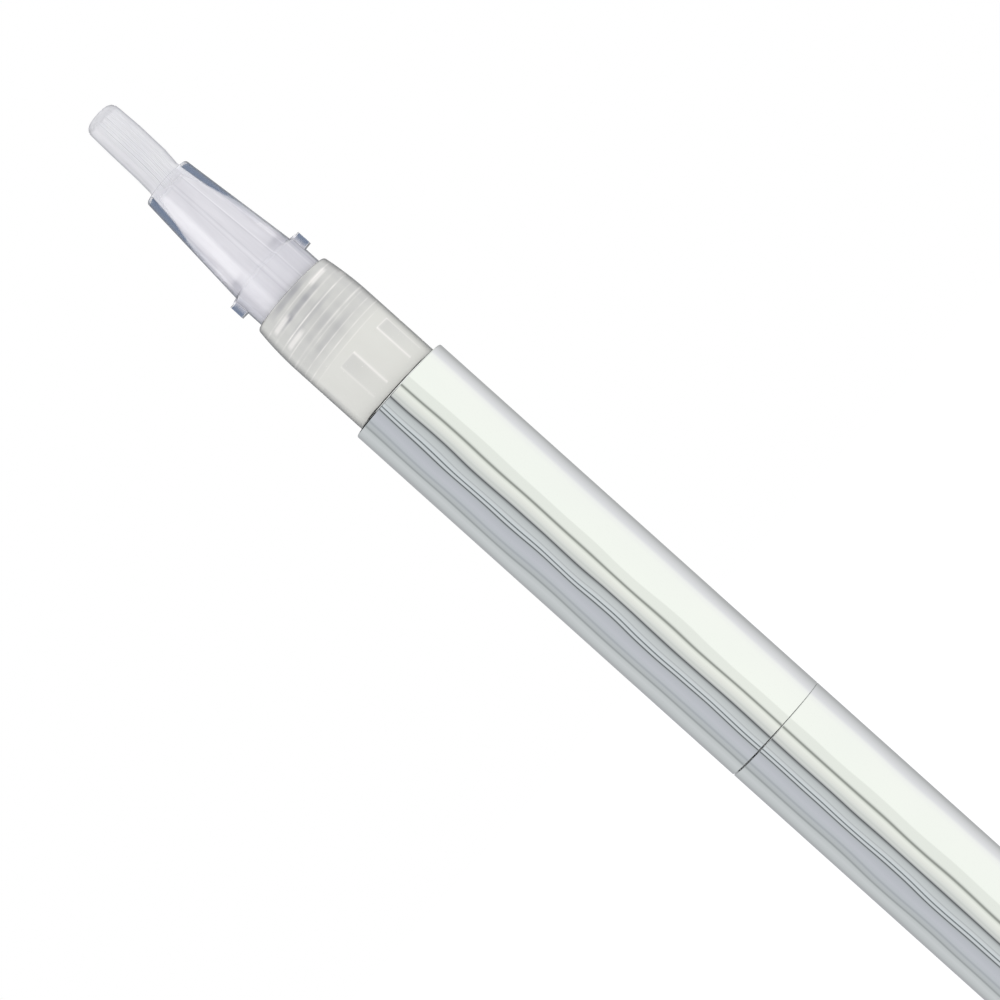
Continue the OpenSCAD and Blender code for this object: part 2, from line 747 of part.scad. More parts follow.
// Core of the knob, which turns on the spigot and carries the drive tube
module knob_core() {
    bead_z = spigot_z + bead_back;
    color("white") difference() {
        bar(core_r, plug_flange_t + face_gap, core_front_z);
        bar(drive_bore_r, plug_flange_t - cut_over, core_front_z);
        bar(spigot_bore_r, core_ledge_z, core_front_z + cut_over);
        bar(spigot_bore_r + bead_h, bead_z - 2 * face_gap, bead_z + bead_w + 2 * face_gap);
        drive_keys(fit_gap, plug_flange_t - cut_over);
    }
}

// Keys between the drive tube and the knob's core, from z0 to their front ends
module drive_keys(gap, z0) {
    round_keys(
        2, drive_key_w + 2 * gap, drive_neck_r, drive_r + drive_key_h + gap,
        z0, drive_back_z + drive_key_l + gap
    );
}

// Tube that turns the rod: a free bore behind and a flat-sided bore in front
module drive_tube() {
    flats_z = drive_front_z - drive_flat_l;
    color("ivory") difference() {
        union() {
            bar(drive_r, drive_back_z, drive_shoulder_z);
            bar(drive_neck_r, drive_back_z, drive_front_z);
            bar(hub_out_r, spring_z - face_gap - spring_stop_t, spring_z - face_gap);
            drive_keys(0, drive_back_z);
        }
        bar(rod_hole_r + rod_gap / 2, drive_back_z - cut_over, flats_z);
        translate([0, 0, flats_z - cut_over]) linear_extrude(drive_flat_l + 2 * cut_over) intersection() {
            circle(r = rod_hole_r);
            square([2 * (rod_flat_x + rod_gap), 4 * rod_r], center = true);
        }
    }
}

// Plug that closes the tail, with the flat that the pen stands on
module end_plug() {
    e = plug_edge_r;
    flange_r = barrel_r - plug_flange_step;
    color("silver") difference() {
        union() {
            rotate_extrude() polygon(concat(
                [[0, plug_flange_t], [0, 0]],
                arc(flange_r - e, e, e, -90, 0),
                [[flange_r, plug_flange_t]]
            ));
            bar(drive_r, plug_flange_t / 2, plug_spigot_z);
        }
        bar(drive_r - plug_spigot_wall, plug_floor_z, plug_spigot_z + cut_over);
    }
}

// Threaded rod with two flats and a snap head for the piston
module screw_rod() {
    color("ivory") union() {
        intersection() {
            bar(rod_root_r, rod_back_z, rod_front_z);
            translate([-rod_flat_x, -rod_r, rod_back_z - cut_over])
                cube([2 * rod_flat_x, 2 * rod_r, rod_front_z - rod_back_z + 2 * cut_over]);
        }
        bar(neck_r, rod_front_z - cut_over, head_z + cut_over);
        translate([0, 0, head_z]) cylinder(r1 = head_r, r2 = neck_r, h = head_t);
        for (side = [0, 1]) rotate([0, 0, 180 * side]) rod_teeth();
    }
}

// The teeth on one side of the rod, between its flats
module rod_teeth() {
    first = ceil((rod_back_z + thread_pitch - thread_z) / thread_pitch);
    last = floor((rod_front_z - thread_pitch - thread_z) / thread_pitch);
    for (k = [first : last]) rod_tooth(thread_z + k * thread_pitch);
}

// One tooth: a stretch of the helix that ends in the planes of the two flats
module rod_tooth(z) {
    steps = 4;
    root = (rod_root_r + rod_flat_x) / 2;
    section = [
        [root, -tooth_root_w / 2], [root, tooth_root_w / 2],
        [rod_r, tooth_crest_w / 2], [rod_r, -tooth_crest_w / 2]
    ];
    points = [
        for (i = [0 : steps]) for (p = section)
            let (x = rod_flat_x * (1 - 2 * i / steps))
            on_helix(p[0], acos(x / p[0]), z - lead / 4 + p[1])
    ];
    polyhedron(points = points, faces = ribbon_faces(steps), convexity = 4);
}

// Piston body: two flanges, a nose and the cavity for the rod's head
module piston_core() {
    flange_r = tube_bore_r - flange_gap;
    body_z = piston_z + piston_flange_t;
    shoulder_z = piston_front_z - nose_l;
    color("white") difference() {
        union() {
            bar(flange_r, piston_z, body_z);
            bar(piston_body_r, piston_z, shoulder_z);
            bar(flange_r, shoulder_z - piston_flange_t, shoulder_z);
            translate([0, 0, shoulder_z])
                cylinder(r1 = flange_r - nose_l / 2, r2 = nose_d / 2, h = nose_l);
        }
        bar(neck_r + rod_gap, piston_z - cut_over, head_z);
        bar(head_r + rod_gap, head_z - head_gap, head_front_z + head_gap);
    }
}

// Soft seal around the piston with a lip at each end
module piston_seal() {
    z0 = piston_z + piston_flange_t + face_gap;
    z1 = piston_front_z - nose_l - piston_flange_t - face_gap;
    in_r = piston_body_r + fit_gap;
    waist_r = lip_r - waist_h;
    color("lightgray") rotate_extrude() polygon([
        [in_r, z0], [lip_r, z0], [lip_r, z0 + lip_w], [waist_r, z0 + lip_w + waist_h],
        [waist_r, z1 - lip_w - waist_h], [lip_r, z1 - lip_w], [lip_r, z1], [in_r, z1]
    ]);
}

brush();
brush_bush();
feed_tube();
feed_plug();
ferrule();
collar();
reservoir_tube();
front_sleeve();
rod_nut();
ratchet_ring();
thrust_washer();
drag_ring();
knob_sleeve();
knob_core();
drive_tube();
click_spring();
end_plug();
screw_rod();
piston_core();
piston_seal();
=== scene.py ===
"""Looks of a twist-up nail oil pen with a brush tip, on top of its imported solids.

Everything is built in the solids' own frame, in metres: Z is the pen's axis and points to the
brush, and the origin is the middle of the flat tail. Sizes in the classes are in millimetres.
"""

import logging
import math
from dataclasses import dataclass, field
from enum import Enum
from typing import Any, Dict, List, Optional, Sequence, Tuple, Union

import bpy
import numpy as np
from mathutils import Matrix, Vector

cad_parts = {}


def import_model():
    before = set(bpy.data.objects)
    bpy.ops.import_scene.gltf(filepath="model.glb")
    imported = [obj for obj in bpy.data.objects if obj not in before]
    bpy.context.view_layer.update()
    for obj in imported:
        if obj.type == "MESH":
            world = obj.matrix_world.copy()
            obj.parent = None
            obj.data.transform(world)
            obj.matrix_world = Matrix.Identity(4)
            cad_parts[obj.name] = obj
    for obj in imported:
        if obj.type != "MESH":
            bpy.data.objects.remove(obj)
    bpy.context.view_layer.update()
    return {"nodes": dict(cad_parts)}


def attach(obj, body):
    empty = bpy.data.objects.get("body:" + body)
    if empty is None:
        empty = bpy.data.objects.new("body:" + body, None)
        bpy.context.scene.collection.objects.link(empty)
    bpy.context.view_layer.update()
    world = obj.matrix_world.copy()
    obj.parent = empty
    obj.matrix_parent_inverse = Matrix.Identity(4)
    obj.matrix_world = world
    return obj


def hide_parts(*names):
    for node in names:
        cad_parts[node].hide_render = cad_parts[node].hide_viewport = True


LOG = logging.getLogger("pen")
MM = 0.001

Tree = bpy.types.NodeTree
Node = bpy.types.Node
Socket = bpy.types.NodeSocket
Material = bpy.types.Material
Piece = bpy.types.Object


class Body(str, Enum):
    """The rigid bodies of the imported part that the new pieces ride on."""

    BARREL = "barrel"
    KNOB = "knob"


# Colours and shader nodes


def srgb(code: str) -> Tuple[float, float, float, float]:
    """Turns an sRGB hex colour into linear light.

    Args:
        code: Six hex digits, such as "d4d4ce".

    Returns:
        Red, green, blue and alpha, linear.
    """
    values = [int(code[i : i + 2], 16) / 255 for i in (0, 2, 4)]
    linear = [v / 12.92 if v <= 0.04045 else ((v + 0.055) / 1.055) ** 2.4 for v in values]
    return (*linear, 1.0)


def node(
    tree: Tree,
    kind: str,
    values: Optional[Dict[Union[str, int], Any]] = None,
    links: Optional[Dict[Union[str, int], Socket]] = None,
    **settings: Any,
) -> Node:
    """Adds a shader node with its settings, socket values and links.

    Args:
        tree: The node tree.
        kind: Type name of the node.
        values: Constant values by socket name or number.
        links: Output sockets by the input's name or number.
        **settings: Attributes of the node.

    Returns:
        The new node.
    """
    made = tree.nodes.new(kind)
    for key, value in settings.items():
        setattr(made, key, value)
    for key, value in (values or {}).items():
        made.inputs[key].default_value = value
    for key, source in (links or {}).items():
        tree.links.new(source, made.inputs[key])
    return made


def empty_material(name: str) -> Tuple[Material, Tree]:
    """Makes a material with an empty node tree.

    Args:
        name: Name of the material.

    Returns:
        The material and its node tree.
    """
    material = bpy.data.materials.new(name)
    material.use_nodes = True
    material.node_tree.nodes.clear()
    return material, material.node_tree


def noise_mm(
    tree: Tree, period_mm: float, detail: float = 2.0, stretch: Sequence[float] = (1, 1, 1)
) -> Socket:
    """Adds noise in object space whose features are a stated number of millimetres wide.

    Args:
        tree: The node tree.
        period_mm: Width of a feature.
        detail: Number of finer layers.
        stretch: Scale of the coordinates along X, Y and Z.

    Returns:
        The noise, 0 to 1.
    """
    place = node(tree, "ShaderNodeTexCoord")
    scaled = node(
        tree,
        "ShaderNodeMapping",
        {"Scale": tuple(stretch)},
        {"Vector": place.outputs["Object"]},
    )
    made = node(
        tree,
        "ShaderNodeTexNoise",
        {"Scale": 1 / (period_mm * MM), "Detail": detail},
        {"Vector": scaled.outputs["Vector"]},
    )
    return made.outputs["Fac"]


def skin(
    tree: Tree,
    cloud: Socket,
    grain: Socket,
    tones: Sequence[str],
    roughness: Sequence[float],
    depth_mm: float,
) -> Dict[str, Socket]:
    """Colour, roughness and relief of a real surface, for a shader's sockets.

    Args:
        tree: The node tree.
        cloud: Slow noise that the colour follows.
        grain: Fine noise that the roughness and the relief follow.
        tones: Hex colours at 0 and 1.
        roughness: Roughness at 0 and 1.
        depth_mm: Height of the relief in millimetres.

    Returns:
        Output sockets by the name of the shader's input.
    """
    colour = node(
        tree,
        "ShaderNodeMix",
        {6: srgb(tones[0]), 7: srgb(tones[1])},
        {0: cloud},
        data_type="RGBA",
    )
    rough = node(
        tree,
        "ShaderNodeMapRange",
        {"To Min": roughness[0], "To Max": roughness[1]},
        {"Value": grain},
    )
    relief = node(
        tree,
        "ShaderNodeBump",
        {"Strength": 1.0, "Distance": depth_mm * MM},
        {"Height": grain},
    )
    return {
        "Base Color": colour.outputs[2],
        "Roughness": rough.outputs["Result"],
        "Normal": relief.outputs["Normal"],
    }


def slanted(tree: Tree, low: float, high: float, normal: Optional[Socket] = None) -> Socket:
    """How slanted a surface is seen: 0 up to the slant low, 1 from the slant high.

    Args:
        tree: The node tree.
        low: Share of the slant at which the change starts.
        high: Share at which it is complete.
        normal: Normal socket to take instead of the surface's own.

    Returns:
        The output socket.
    """
    links = {} if normal is None else {"Normal": normal}
    weight = node(tree, "ShaderNodeLayerWeight", {"Blend": 0.5}, links)
    made = node(
        tree,
        "ShaderNodeMapRange",
        {"From Min": low, "From Max": high},
        {"Value": weight.outputs["Facing"]},
        interpolation_type="SMOOTHSTEP",
    )
    return made.outputs["Result"]


# Finishes


@dataclass(frozen=True)
class Moulded:
    """Plain moulded or machined stuff: a tint that drifts a little, a fine grain and a sheen."""

    name: str
    tones: Tuple[str, str]
    roughness: Tuple[float, float] = (0.35, 0.5)
    metallic: float = 0.0
    grain_mm: float = 0.25
    grain_depth_mm: float = 0.002
    cloud_mm: float = 6.0
    shine: float = 0.5

    def make(self) -> Material:
        """Builds the material.

        Returns:
            The material.
        """
        material, tree = empty_material(self.name)
        cloud = noise_mm(tree, self.cloud_mm)
        grain = noise_mm(tree, self.grain_mm, 3.0)
        shader = node(
            tree,
            "ShaderNodeBsdfPrincipled",
            {"Metallic": self.metallic, "Specular IOR Level": self.shine},
            skin(tree, cloud, grain, self.tones, self.roughness, self.grain_depth_mm),
        )
        node(tree, "ShaderNodeOutputMaterial", links={"Surface": shader.outputs["BSDF"]})
        return material


@dataclass(frozen=True)
class Mirror:
    """Polished metal: it mirrors the studio in long bands that waver slightly along the tube.

    The lines that drawing leaves along the tube are finer than a pixel, so they are drawn as
    wide as they need to be to show.
    """

    name: str
    tones: Tuple[str, str]
    roughness: Tuple[float, float] = (0.025, 0.045)
    wave_mm: float = 8.0
    wave_stretch: Tuple[float, float, float] = (1, 1, 0.8)
    wave_depth_mm: float = 0.22
    line_mm: float = 0.5
    line_stretch: Tuple[float, float, float] = (1, 1, 0.02)
    line_depth_mm: float = 0.0004

    def make(self) -> Material:
        """Builds the material.

        Returns:
            The material.
        """
        material, tree = empty_material(self.name)
        wave = noise_mm(tree, self.wave_mm, 1.0, self.wave_stretch)
        lines = noise_mm(tree, self.line_mm, 2.0, self.line_stretch)
        links = skin(tree, wave, lines, self.tones, self.roughness, self.line_depth_mm)
        swell = node(
            tree,
            "ShaderNodeBump",
            {"Strength": 1.0, "Distance": self.wave_depth_mm * MM},
            {"Height": wave},
        )
        tree.links.new(swell.outputs["Normal"], links["Normal"].node.inputs["Normal"])
        shader = node(tree, "ShaderNodeBsdfPrincipled", {"Metallic": 1.0}, links)
        node(tree, "ShaderNodeOutputMaterial", links={"Surface": shader.outputs["BSDF"]})
        return material


@dataclass(frozen=True)
class Clear:
    """Clear moulded plastic that bends the light, with a milky haze, fine random streaks, painted
    highlight bands and shade streaks, and a painted dark blue-grey edge where it is seen at a
    slant.

    The mesh holds how hazy it is, and the painted highlight and shade of the haze.
    """

    name: str
    ior: float = 1.49
    roughness: Tuple[float, float] = (0.02, 0.05)
    fine_mm: float = 0.8
    haze: Tuple[str, str] = ("bebdc3", "f0eff2")
    flow_mm: float = 0.5
    flow_stretch: Tuple[float, float, float] = (1, 1, 0.05)
    flow_swing: float = 0.3
    # Painted dark blue-grey edge where the surface is seen at a slant
    rim: Tuple[str, str] = ("343c48", "4c5462")
    rim_from: float = 0.56
    rim_to: float = 0.9
    rim_roughness: float = 0.1
    rim_see_through: float = 0.3
    wave_mm: float = 5.0
    wave_depth_mm: float = 0.004
    wall: Tuple[float, float, float, float] = (0.96, 0.96, 0.97, 1)

    def make(self) -> Material:
        """Builds the material.

        Spread light from the brush inside leaves straight through the thin wall, so what the
        plastic covers is as bright as what stands outside it.

        Returns:
            The material.
        """
        material, tree = empty_material(self.name)
        wave = noise_mm(tree, self.wave_mm, 1.0)
        relief = node(
            tree,
            "ShaderNodeBump",
            {"Strength": 1.0, "Distance": self.wave_depth_mm * MM},
            {"Height": wave},
        )
        rough = node(
            tree,
            "ShaderNodeMapRange",
            {"To Min": self.roughness[0], "To Max": self.roughness[1]},
            {"Value": noise_mm(tree, self.fine_mm, 2.0)},
        )
        glass = node(
            tree,
            "ShaderNodeBsdfPrincipled",
            {"Base Color": (1, 1, 1, 1), "Transmission Weight": 1.0, "IOR": self.ior},
            {"Roughness": rough.outputs["Result"], "Normal": relief.outputs["Normal"]},
        )
        milk = node(
            tree,
            "ShaderNodeBsdfDiffuse",
            links={"Color": self.streaks_and_painted_light(tree), "Normal": relief.outputs["Normal"]},
        )
        amount = node(tree, "ShaderNodeAttribute", attribute_name="haze")
        hazy = node(
            tree,
            "ShaderNodeMixShader",
            links={0: amount.outputs["Fac"], 1: glass.outputs["BSDF"], 2: milk.outputs["BSDF"]},
        )
        tone = node(
            tree,
            "ShaderNodeMix",
            {6: srgb(self.rim[0]), 7: srgb(self.rim[1])},
            {0: wave},
            data_type="RGBA",
        )
        edge = node(
            tree,
            "ShaderNodeBsdfPrincipled",
            {
                "Roughness": self.rim_roughness,
                "IOR": self.ior,
                "Transmission Weight": self.rim_see_through,
            },
            {"Base Color": tone.outputs[2]},
        )
        # Painted dark edge, mixed in where the surface is seen at a slant
        rimmed = node(
            tree,
            "ShaderNodeMixShader",
            links={
                0: slanted(tree, self.rim_from, self.rim_to),
                1: hazy.outputs["Shader"],
                2: edge.outputs["BSDF"],
            },
        )
        path = node(tree, "ShaderNodeLightPath")
        through = node(tree, "ShaderNodeBsdfTransparent", {"Color": self.wall})
        whole = node(
            tree,
            "ShaderNodeMixShader",
            links={
                0: path.outputs["Is Diffuse Ray"],
                1: rimmed.outputs["Shader"],
                2: through.outputs["BSDF"],
            },
        )
        node(tree, "ShaderNodeOutputMaterial", links={"Surface": whole.outputs["Shader"]})
        return material

    def streaks_and_painted_light(self, tree: Tree) -> Socket:
        """Colour of the haze: the painted highlight and shade layer on the mesh, broken up by fine
        random streaks.

        Args:
            tree: The node tree.

        Returns:
            The colour socket.
        """
        streaks = node(
            tree,
            "ShaderNodeMapRange",
            {"To Min": -self.flow_swing, "To Max": self.flow_swing},
            {"Value": noise_mm(tree, self.flow_mm, 3.0, self.flow_stretch)},
        )
        band = node(tree, "ShaderNodeAttribute", attribute_name="streaks_and_painted_light")
        both = node(
            tree,
            "ShaderNodeMath",
            links={0: streaks.outputs["Result"], 1: band.outputs["Fac"]},
            operation="ADD",
            use_clamp=True,
        )
        tone = node(
            tree,
            "ShaderNodeMix",
            {6: srgb(self.haze[0]), 7: srgb(self.haze[1])},
            {0: both.outputs["Value"]},
            data_type="RGBA",
        )
        return tone.outputs[2]


@dataclass(frozen=True)
class Milky:
    """Milky plastic: part of the light goes through and is spread on the way."""

    name: str
    tones: Tuple[str, str]
    glow: float
    roughness: Tuple[float, float] = (0.3, 0.42)
    ior: float = 1.46
    cloud_mm: float = 2.5
    grain_mm: float = 0.18
    grain_depth_mm: float = 0.003
    # Painted grey shade along a bundle's outline, seen by the camera only
    outline_shade: Tuple[str, ...] = ()
    outline_shade_from: float = 0.22
    outline_shade_roughness: float = 0.45

    def make(self) -> Material:
        """Builds the material.

        Returns:
            The material.
        """
        material, tree = empty_material(self.name)
        cloud = noise_mm(tree, self.cloud_mm)
        grain = noise_mm(tree, self.grain_mm, 3.0)
        links = skin(tree, cloud, grain, self.tones, self.roughness, self.grain_depth_mm)
        shell = node(tree, "ShaderNodeBsdfPrincipled", {"IOR": self.ior}, links)
        glow = node(
            tree,
            "ShaderNodeBsdfTranslucent",
            links={"Color": links["Base Color"], "Normal": links["Normal"]},
        )
        whole = node(
            tree,
            "ShaderNodeMixShader",
            {0: self.glow},
            {1: shell.outputs["BSDF"], 2: glow.outputs["BSDF"]},
        )
        if self.outline_shade:
            whole = self.outline_shaded(tree, whole, cloud)
        node(tree, "ShaderNodeOutputMaterial", links={"Surface": whole.outputs["Shader"]})
        return material

    def outline_shaded(self, tree: Tree, body: Node, cloud: Socket) -> Node:
        """Lays a painted grey shade over a bundle of filaments where the bundle turns away, for the
        camera only.

        The mesh holds the bundle's outward direction and how strong the painted shade may be. Light
        that goes from filament to filament doesn't meet it, or the whole bundle would darken.

        Args:
            tree: The node tree.
            body: The shader below.
            cloud: The noise of the tint.

        Returns:
            The mixed shader.
        """
        outward = node(tree, "ShaderNodeAttribute", attribute_name="out")
        normal = node(
            tree,
            "ShaderNodeVectorTransform",
            links={"Vector": outward.outputs["Vector"]},
            vector_type="NORMAL",
            convert_from="OBJECT",
            convert_to="WORLD",
        )
        path = node(tree, "ShaderNodeLightPath")
        most = node(tree, "ShaderNodeAttribute", attribute_name="edge")
        seen = node(
            tree,
            "ShaderNodeMath",
            links={0: path.outputs["Is Camera Ray"], 1: most.outputs["Fac"]},
            operation="MULTIPLY",
        )
        amount = node(
            tree,
            "ShaderNodeMath",
            links={
                0: slanted(tree, self.outline_shade_from, 1.0, normal.outputs["Vector"]),
                1: seen.outputs["Value"],
            },
            operation="MULTIPLY",
        )
        tone = node(
            tree,
            "ShaderNodeMix",
            {6: srgb(self.outline_shade[0]), 7: srgb(self.outline_shade[1])},
            {0: cloud},
            data_type="RGBA",
        )
        grey = node(
            tree,
            "ShaderNodeBsdfPrincipled",
            {"Roughness": self.outline_shade_roughness, "IOR": self.ior},
            {"Base Color": tone.outputs[2]},
        )
        return node(
            tree,
            "ShaderNodeMixShader",
            links={0: amount.outputs["Value"], 1: body.outputs["Shader"], 2: grey.outputs["BSDF"]},
        )


@dataclass(frozen=True)
class Frosted:
    """Frosted plastic that is glassy, and painted a darker grey, where it is seen at a slant.

    Painted highlight and shade lines stand over its inner edges, and a painted shadow lies under
    the sleeve's rim; the mesh holds them as layers.
    """

    name: str
    tones: Tuple[str, str] = ("dfdfd8", "e5e5df")
    # Painted shade, painted highlight and painted shadow under the sleeve's rim, laid over the
    # colour in turn
    layers: Tuple[Tuple[str, str], ...] = (
        ("inner_shade", "a6a6aa"),
        ("inner_highlight", "fbf8f4"),
        ("rim_shadow", "3c3c3c"),
    )
    see_through: float = 0.1
    # Painted darker grey outline where the surface is seen at a slant
    rim: Tuple[str, str] = ("6a6a6c", "868684")
    rim_from: float = 0.45
    rim_roughness: float = 0.25
    rim_see_through: float = 0.6
    roughness: Tuple[float, float] = (0.2, 0.3)
    ior: float = 1.46
    cloud_mm: float = 2.6
    grain_mm: float = 0.2
    grain_depth_mm: float = 0.002

    def make(self) -> Material:
        """Builds the material.

        Returns:
            The material.
        """
        material, tree = empty_material(self.name)
        cloud = noise_mm(tree, self.cloud_mm)
        grain = noise_mm(tree, self.grain_mm, 3.0)
        links = skin(tree, cloud, grain, self.tones, self.roughness, self.grain_depth_mm)
        for name, tone in self.layers:
            amount = node(tree, "ShaderNodeAttribute", attribute_name=name)
            laid = node(
                tree,
                "ShaderNodeMix",
                {7: srgb(tone)},
                {0: amount.outputs["Fac"], 6: links["Base Color"]},
                data_type="RGBA",
            )
            links["Base Color"] = laid.outputs[2]
        wall = node(
            tree,
            "ShaderNodeBsdfPrincipled",
            {"Transmission Weight": self.see_through, "IOR": self.ior},
            links,
        )
        tone = node(
            tree,
            "ShaderNodeMix",
            {6: srgb(self.rim[0]), 7: srgb(self.rim[1])},
            {0: cloud},
            data_type="RGBA",
        )
        rim = node(
            tree,
            "ShaderNodeBsdfPrincipled",
            {
                "Transmission Weight": self.rim_see_through,
                "Roughness": self.rim_roughness,
                "IOR": self.ior,
            },
            {"Base Color": tone.outputs[2]},
        )
        whole = node(
            tree,
            "ShaderNodeMixShader",
            links={
                0: slanted(tree, self.rim_from, 1.0),
                1: wall.outputs["BSDF"],
                2: rim.outputs["BSDF"],
            },
        )
        node(tree, "ShaderNodeOutputMaterial", links={"Surface": whole.outputs["Shader"]})
        return material


class Finish(Enum):
    """Every finish of the pen: the record's material slot, and the stuff it is made of."""

    # Drawn nylon: soft white threads that melt into one another, with a painted grey shade along
    # the outline
    BRISTLES = (
        "bristles",
        Milky(
            "nylon_filament", ("f4f4f8", "fefeff"), 0.05, (0.35, 0.5), outline_shade=("7c7c84", "8c8c94")
        ),
    )
    # Moulded polyethylene: a milky white ring that glows behind the clear base
    BUSH = ("bush_plastic", Milky("natural_polyethylene_bush", ("ececf2", "f4f4f8"), 0.5))
    # Moulded polypropylene: milky and a little waxy, lit from within
    FEED = ("feed_plastic", Milky("natural_polypropylene_feed", ("e8e8e8", "f2f2f0"), 0.5))
    # Polished styrene acrylonitrile: clear as glass, hazy in the middle, with painted highlight
    # bands and shade streaks, and a painted dark blue-grey edge at a slant
    CLEAR = ("clear_plastic", Clear("clear_styrene_acrylonitrile"))
    # Frosted polypropylene: warm pale grey and satin, with painted highlight and shade lines where
    # its inner edges lie, and a painted darker outline
    FROSTED = ("frosted_plastic", Frosted("frosted_polypropylene"))
    # Moulded polypropylene: a milky warm white that lets the light in
    RESERVOIR = ("reservoir_plastic", Milky("natural_polypropylene", ("dcdcd6", "ecece6"), 0.4))
    # Polished aluminium: long bright and dark bands that waver a little
    ALUMINIUM = ("bright_aluminium", Mirror("polished_aluminium", ("eff1f0", "f5f6f4")))
    # Moulded acetal: dense ivory with a soft sheen
    IVORY = ("ivory_plastic", Moulded("ivory_acetal", ("e6e0cc", "efe9d8"), (0.25, 0.4)))
    # Moulded acetal: opaque white with a soft sheen
    WHITE = ("white_plastic", Moulded("white_acetal", ("e8e8e6", "f2f2f0"), (0.25, 0.4)))
    # Turned acetal: a duller and greyer white than the moulded parts beside it
    WASHER = ("washer_plastic", Moulded("natural_acetal_washer", ("dcdcd8", "e8e8e4"), (0.4, 0.6)))
    # Moulded nitrile rubber: nearly black and dull
    RUBBER = ("seal_rubber", Moulded("black_nitrile_rubber", ("151517", "1e1e20"), (0.55, 0.75)))
    # Rolled phosphor bronze: warm golden brown with a fine metallic gloss
    BRONZE = ("spring_brass", Moulded("phosphor_bronze", ("b98a4a", "c79a58"), (0.2, 0.32), 1.0))
    # Moulded silicone: cool pale grey, soft and a little dull
    SEAL = ("seal_soft", Moulded("soft_silicone", ("c8ccd0", "d6dade"), (0.35, 0.5)))

    def __init__(self, slot: str, stuff: Union[Moulded, Mirror, Clear, Milky, Frosted]) -> None:
        """Keeps the two values under names of their own."""
        self.slot = slot
        self.stuff = stuff


NODE_FINISH: Dict[str, Finish] = {
    "brush_bush": Finish.BUSH,
    "feed_tube": Finish.FEED,
    "feed_plug": Finish.FEED,
    "reservoir_tube": Finish.RESERVOIR,
    "rod_nut": Finish.IVORY,
    "ratchet_ring": Finish.WHITE,
    "thrust_washer": Finish.WASHER,
    "drag_ring": Finish.RUBBER,
    "knob_core": Finish.WHITE,
    "drive_tube": Finish.IVORY,
    "click_spring": Finish.BRONZE,
    "screw_rod": Finish.IVORY,
    "piston_core": Finish.WHITE,
    "piston_seal": Finish.SEAL,
}

MADE: Dict[Finish, Material] = {}


def material_of(finish: Finish) -> Material:
    """Makes each finish once.

    Args:
        finish: The finish.

    Returns:
        Its material.
    """
    if finish not in MADE:
        MADE[finish] = finish.stuff.make()
    return MADE[finish]


# Surfaces and meshes


def rounded(
    corners: Sequence[Sequence[float]], steps: int = 5, support: float = 0.03
) -> np.ndarray:
    """Rounds the corners of a closed outline.

    Each corner (r, z, fillet) becomes an arc that touches both of its sides at the distance
    fillet / tan(half the corner's angle), with one more point on each side that keeps the
    shading of the flat stretch even. A corner with no fillet stays a point.

    Args:
        corners: Radius, height and fillet of each corner, in order.
        steps: Segments of an arc.
        support: Distance from the arc to the point beside it.

    Returns:
        Points (r, z), one row each.
    """
    made: List[np.ndarray] = []
    count = len(corners)
    for i, (r, z, fillet) in enumerate(corners):
        here = np.array([r, z], float)
        before = np.array(corners[i - 1][:2], float) - here
        after = np.array(corners[(i + 1) % count][:2], float) - here
        if fillet <= 0:
            made.append(here)
            continue
        a = before / np.linalg.norm(before)
        b = after / np.linalg.norm(after)
        half = math.acos(float(np.clip(a @ b, -1, 1))) / 2
        if half > math.pi / 2 - 0.01:
            made.append(here)
            continue
        reach = fillet / math.tan(half)
        middle = here + (a + b) / np.linalg.norm(a + b) * fillet / math.sin(half)
        start, end = here + a * reach, here + b * reach
        made.append(start + a * support)
        va, vb = start - middle, end - middle
        turn = math.acos(float(np.clip(va @ vb / fillet**2, -1, 1)))
        for k in range(steps + 1):
            f = k / steps
            made.append(
                middle + (math.sin((1 - f) * turn) * va + math.sin(f * turn) * vb) / math.sin(turn)
            )
        made.append(end + b * support)
    return np.array(made)


def mesh_object(
    name: str, points: np.ndarray, quads: np.ndarray, triangles: Optional[np.ndarray] = None
) -> Piece:
    """Makes a smooth mesh object with its faces turned outwards.

    The signed volume of the closed surface tells which way the faces look.

    Args:
        name: Name of the object.
        points: Vertices in millimetres, one row each.
        quads: Four vertex numbers for each face.
        triangles: Three vertex numbers for each further face.

    Returns:
        The object.
    """
    three = np.zeros((0, 3), int) if triangles is None else triangles
    corners = points[np.vstack([quads[:, [0, 1, 2]], quads[:, [0, 2, 3]], three])]
    volume = np.einsum("ij,ij->i", corners[:, 0], np.cross(corners[:, 1], corners[:, 2])).sum()
    way = -1 if volume < 0 else 1
    mesh = bpy.data.meshes.new(name)
    faces = quads[:, ::way].tolist() + three[:, ::way].tolist()
    mesh.from_pydata((points * MM).tolist(), [], faces)
    mesh.update()
    mesh.polygons.foreach_set("use_smooth", [True] * len(mesh.polygons))
    LOG.info("%s: %d vertices, %d faces", name, len(mesh.vertices), len(mesh.polygons))
    return in_scene(name, mesh)


def in_scene(name: str, data: bpy.types.ID) -> Piece:
    """Puts an object with the given data into the scene.

    Args:
        name: Name of the object.
        data: Its mesh or camera.

    Returns:
        The object.
    """
    made = bpy.data.objects.new(name, data)
    bpy.context.scene.collection.objects.link(made)
    return made


def paint_layer(piece: Piece, name: str, values: np.ndarray) -> None:
    """Paints one value for each vertex on a piece, for its finish to read.

    Args:
        piece: The object.
        name: Name of the mesh attribute.
        values: The values, in the order of the vertices.
    """
    made = piece.data.attributes.new(name, "FLOAT", "POINT")
    made.data.foreach_set("value", values.astype(np.float32).ravel())


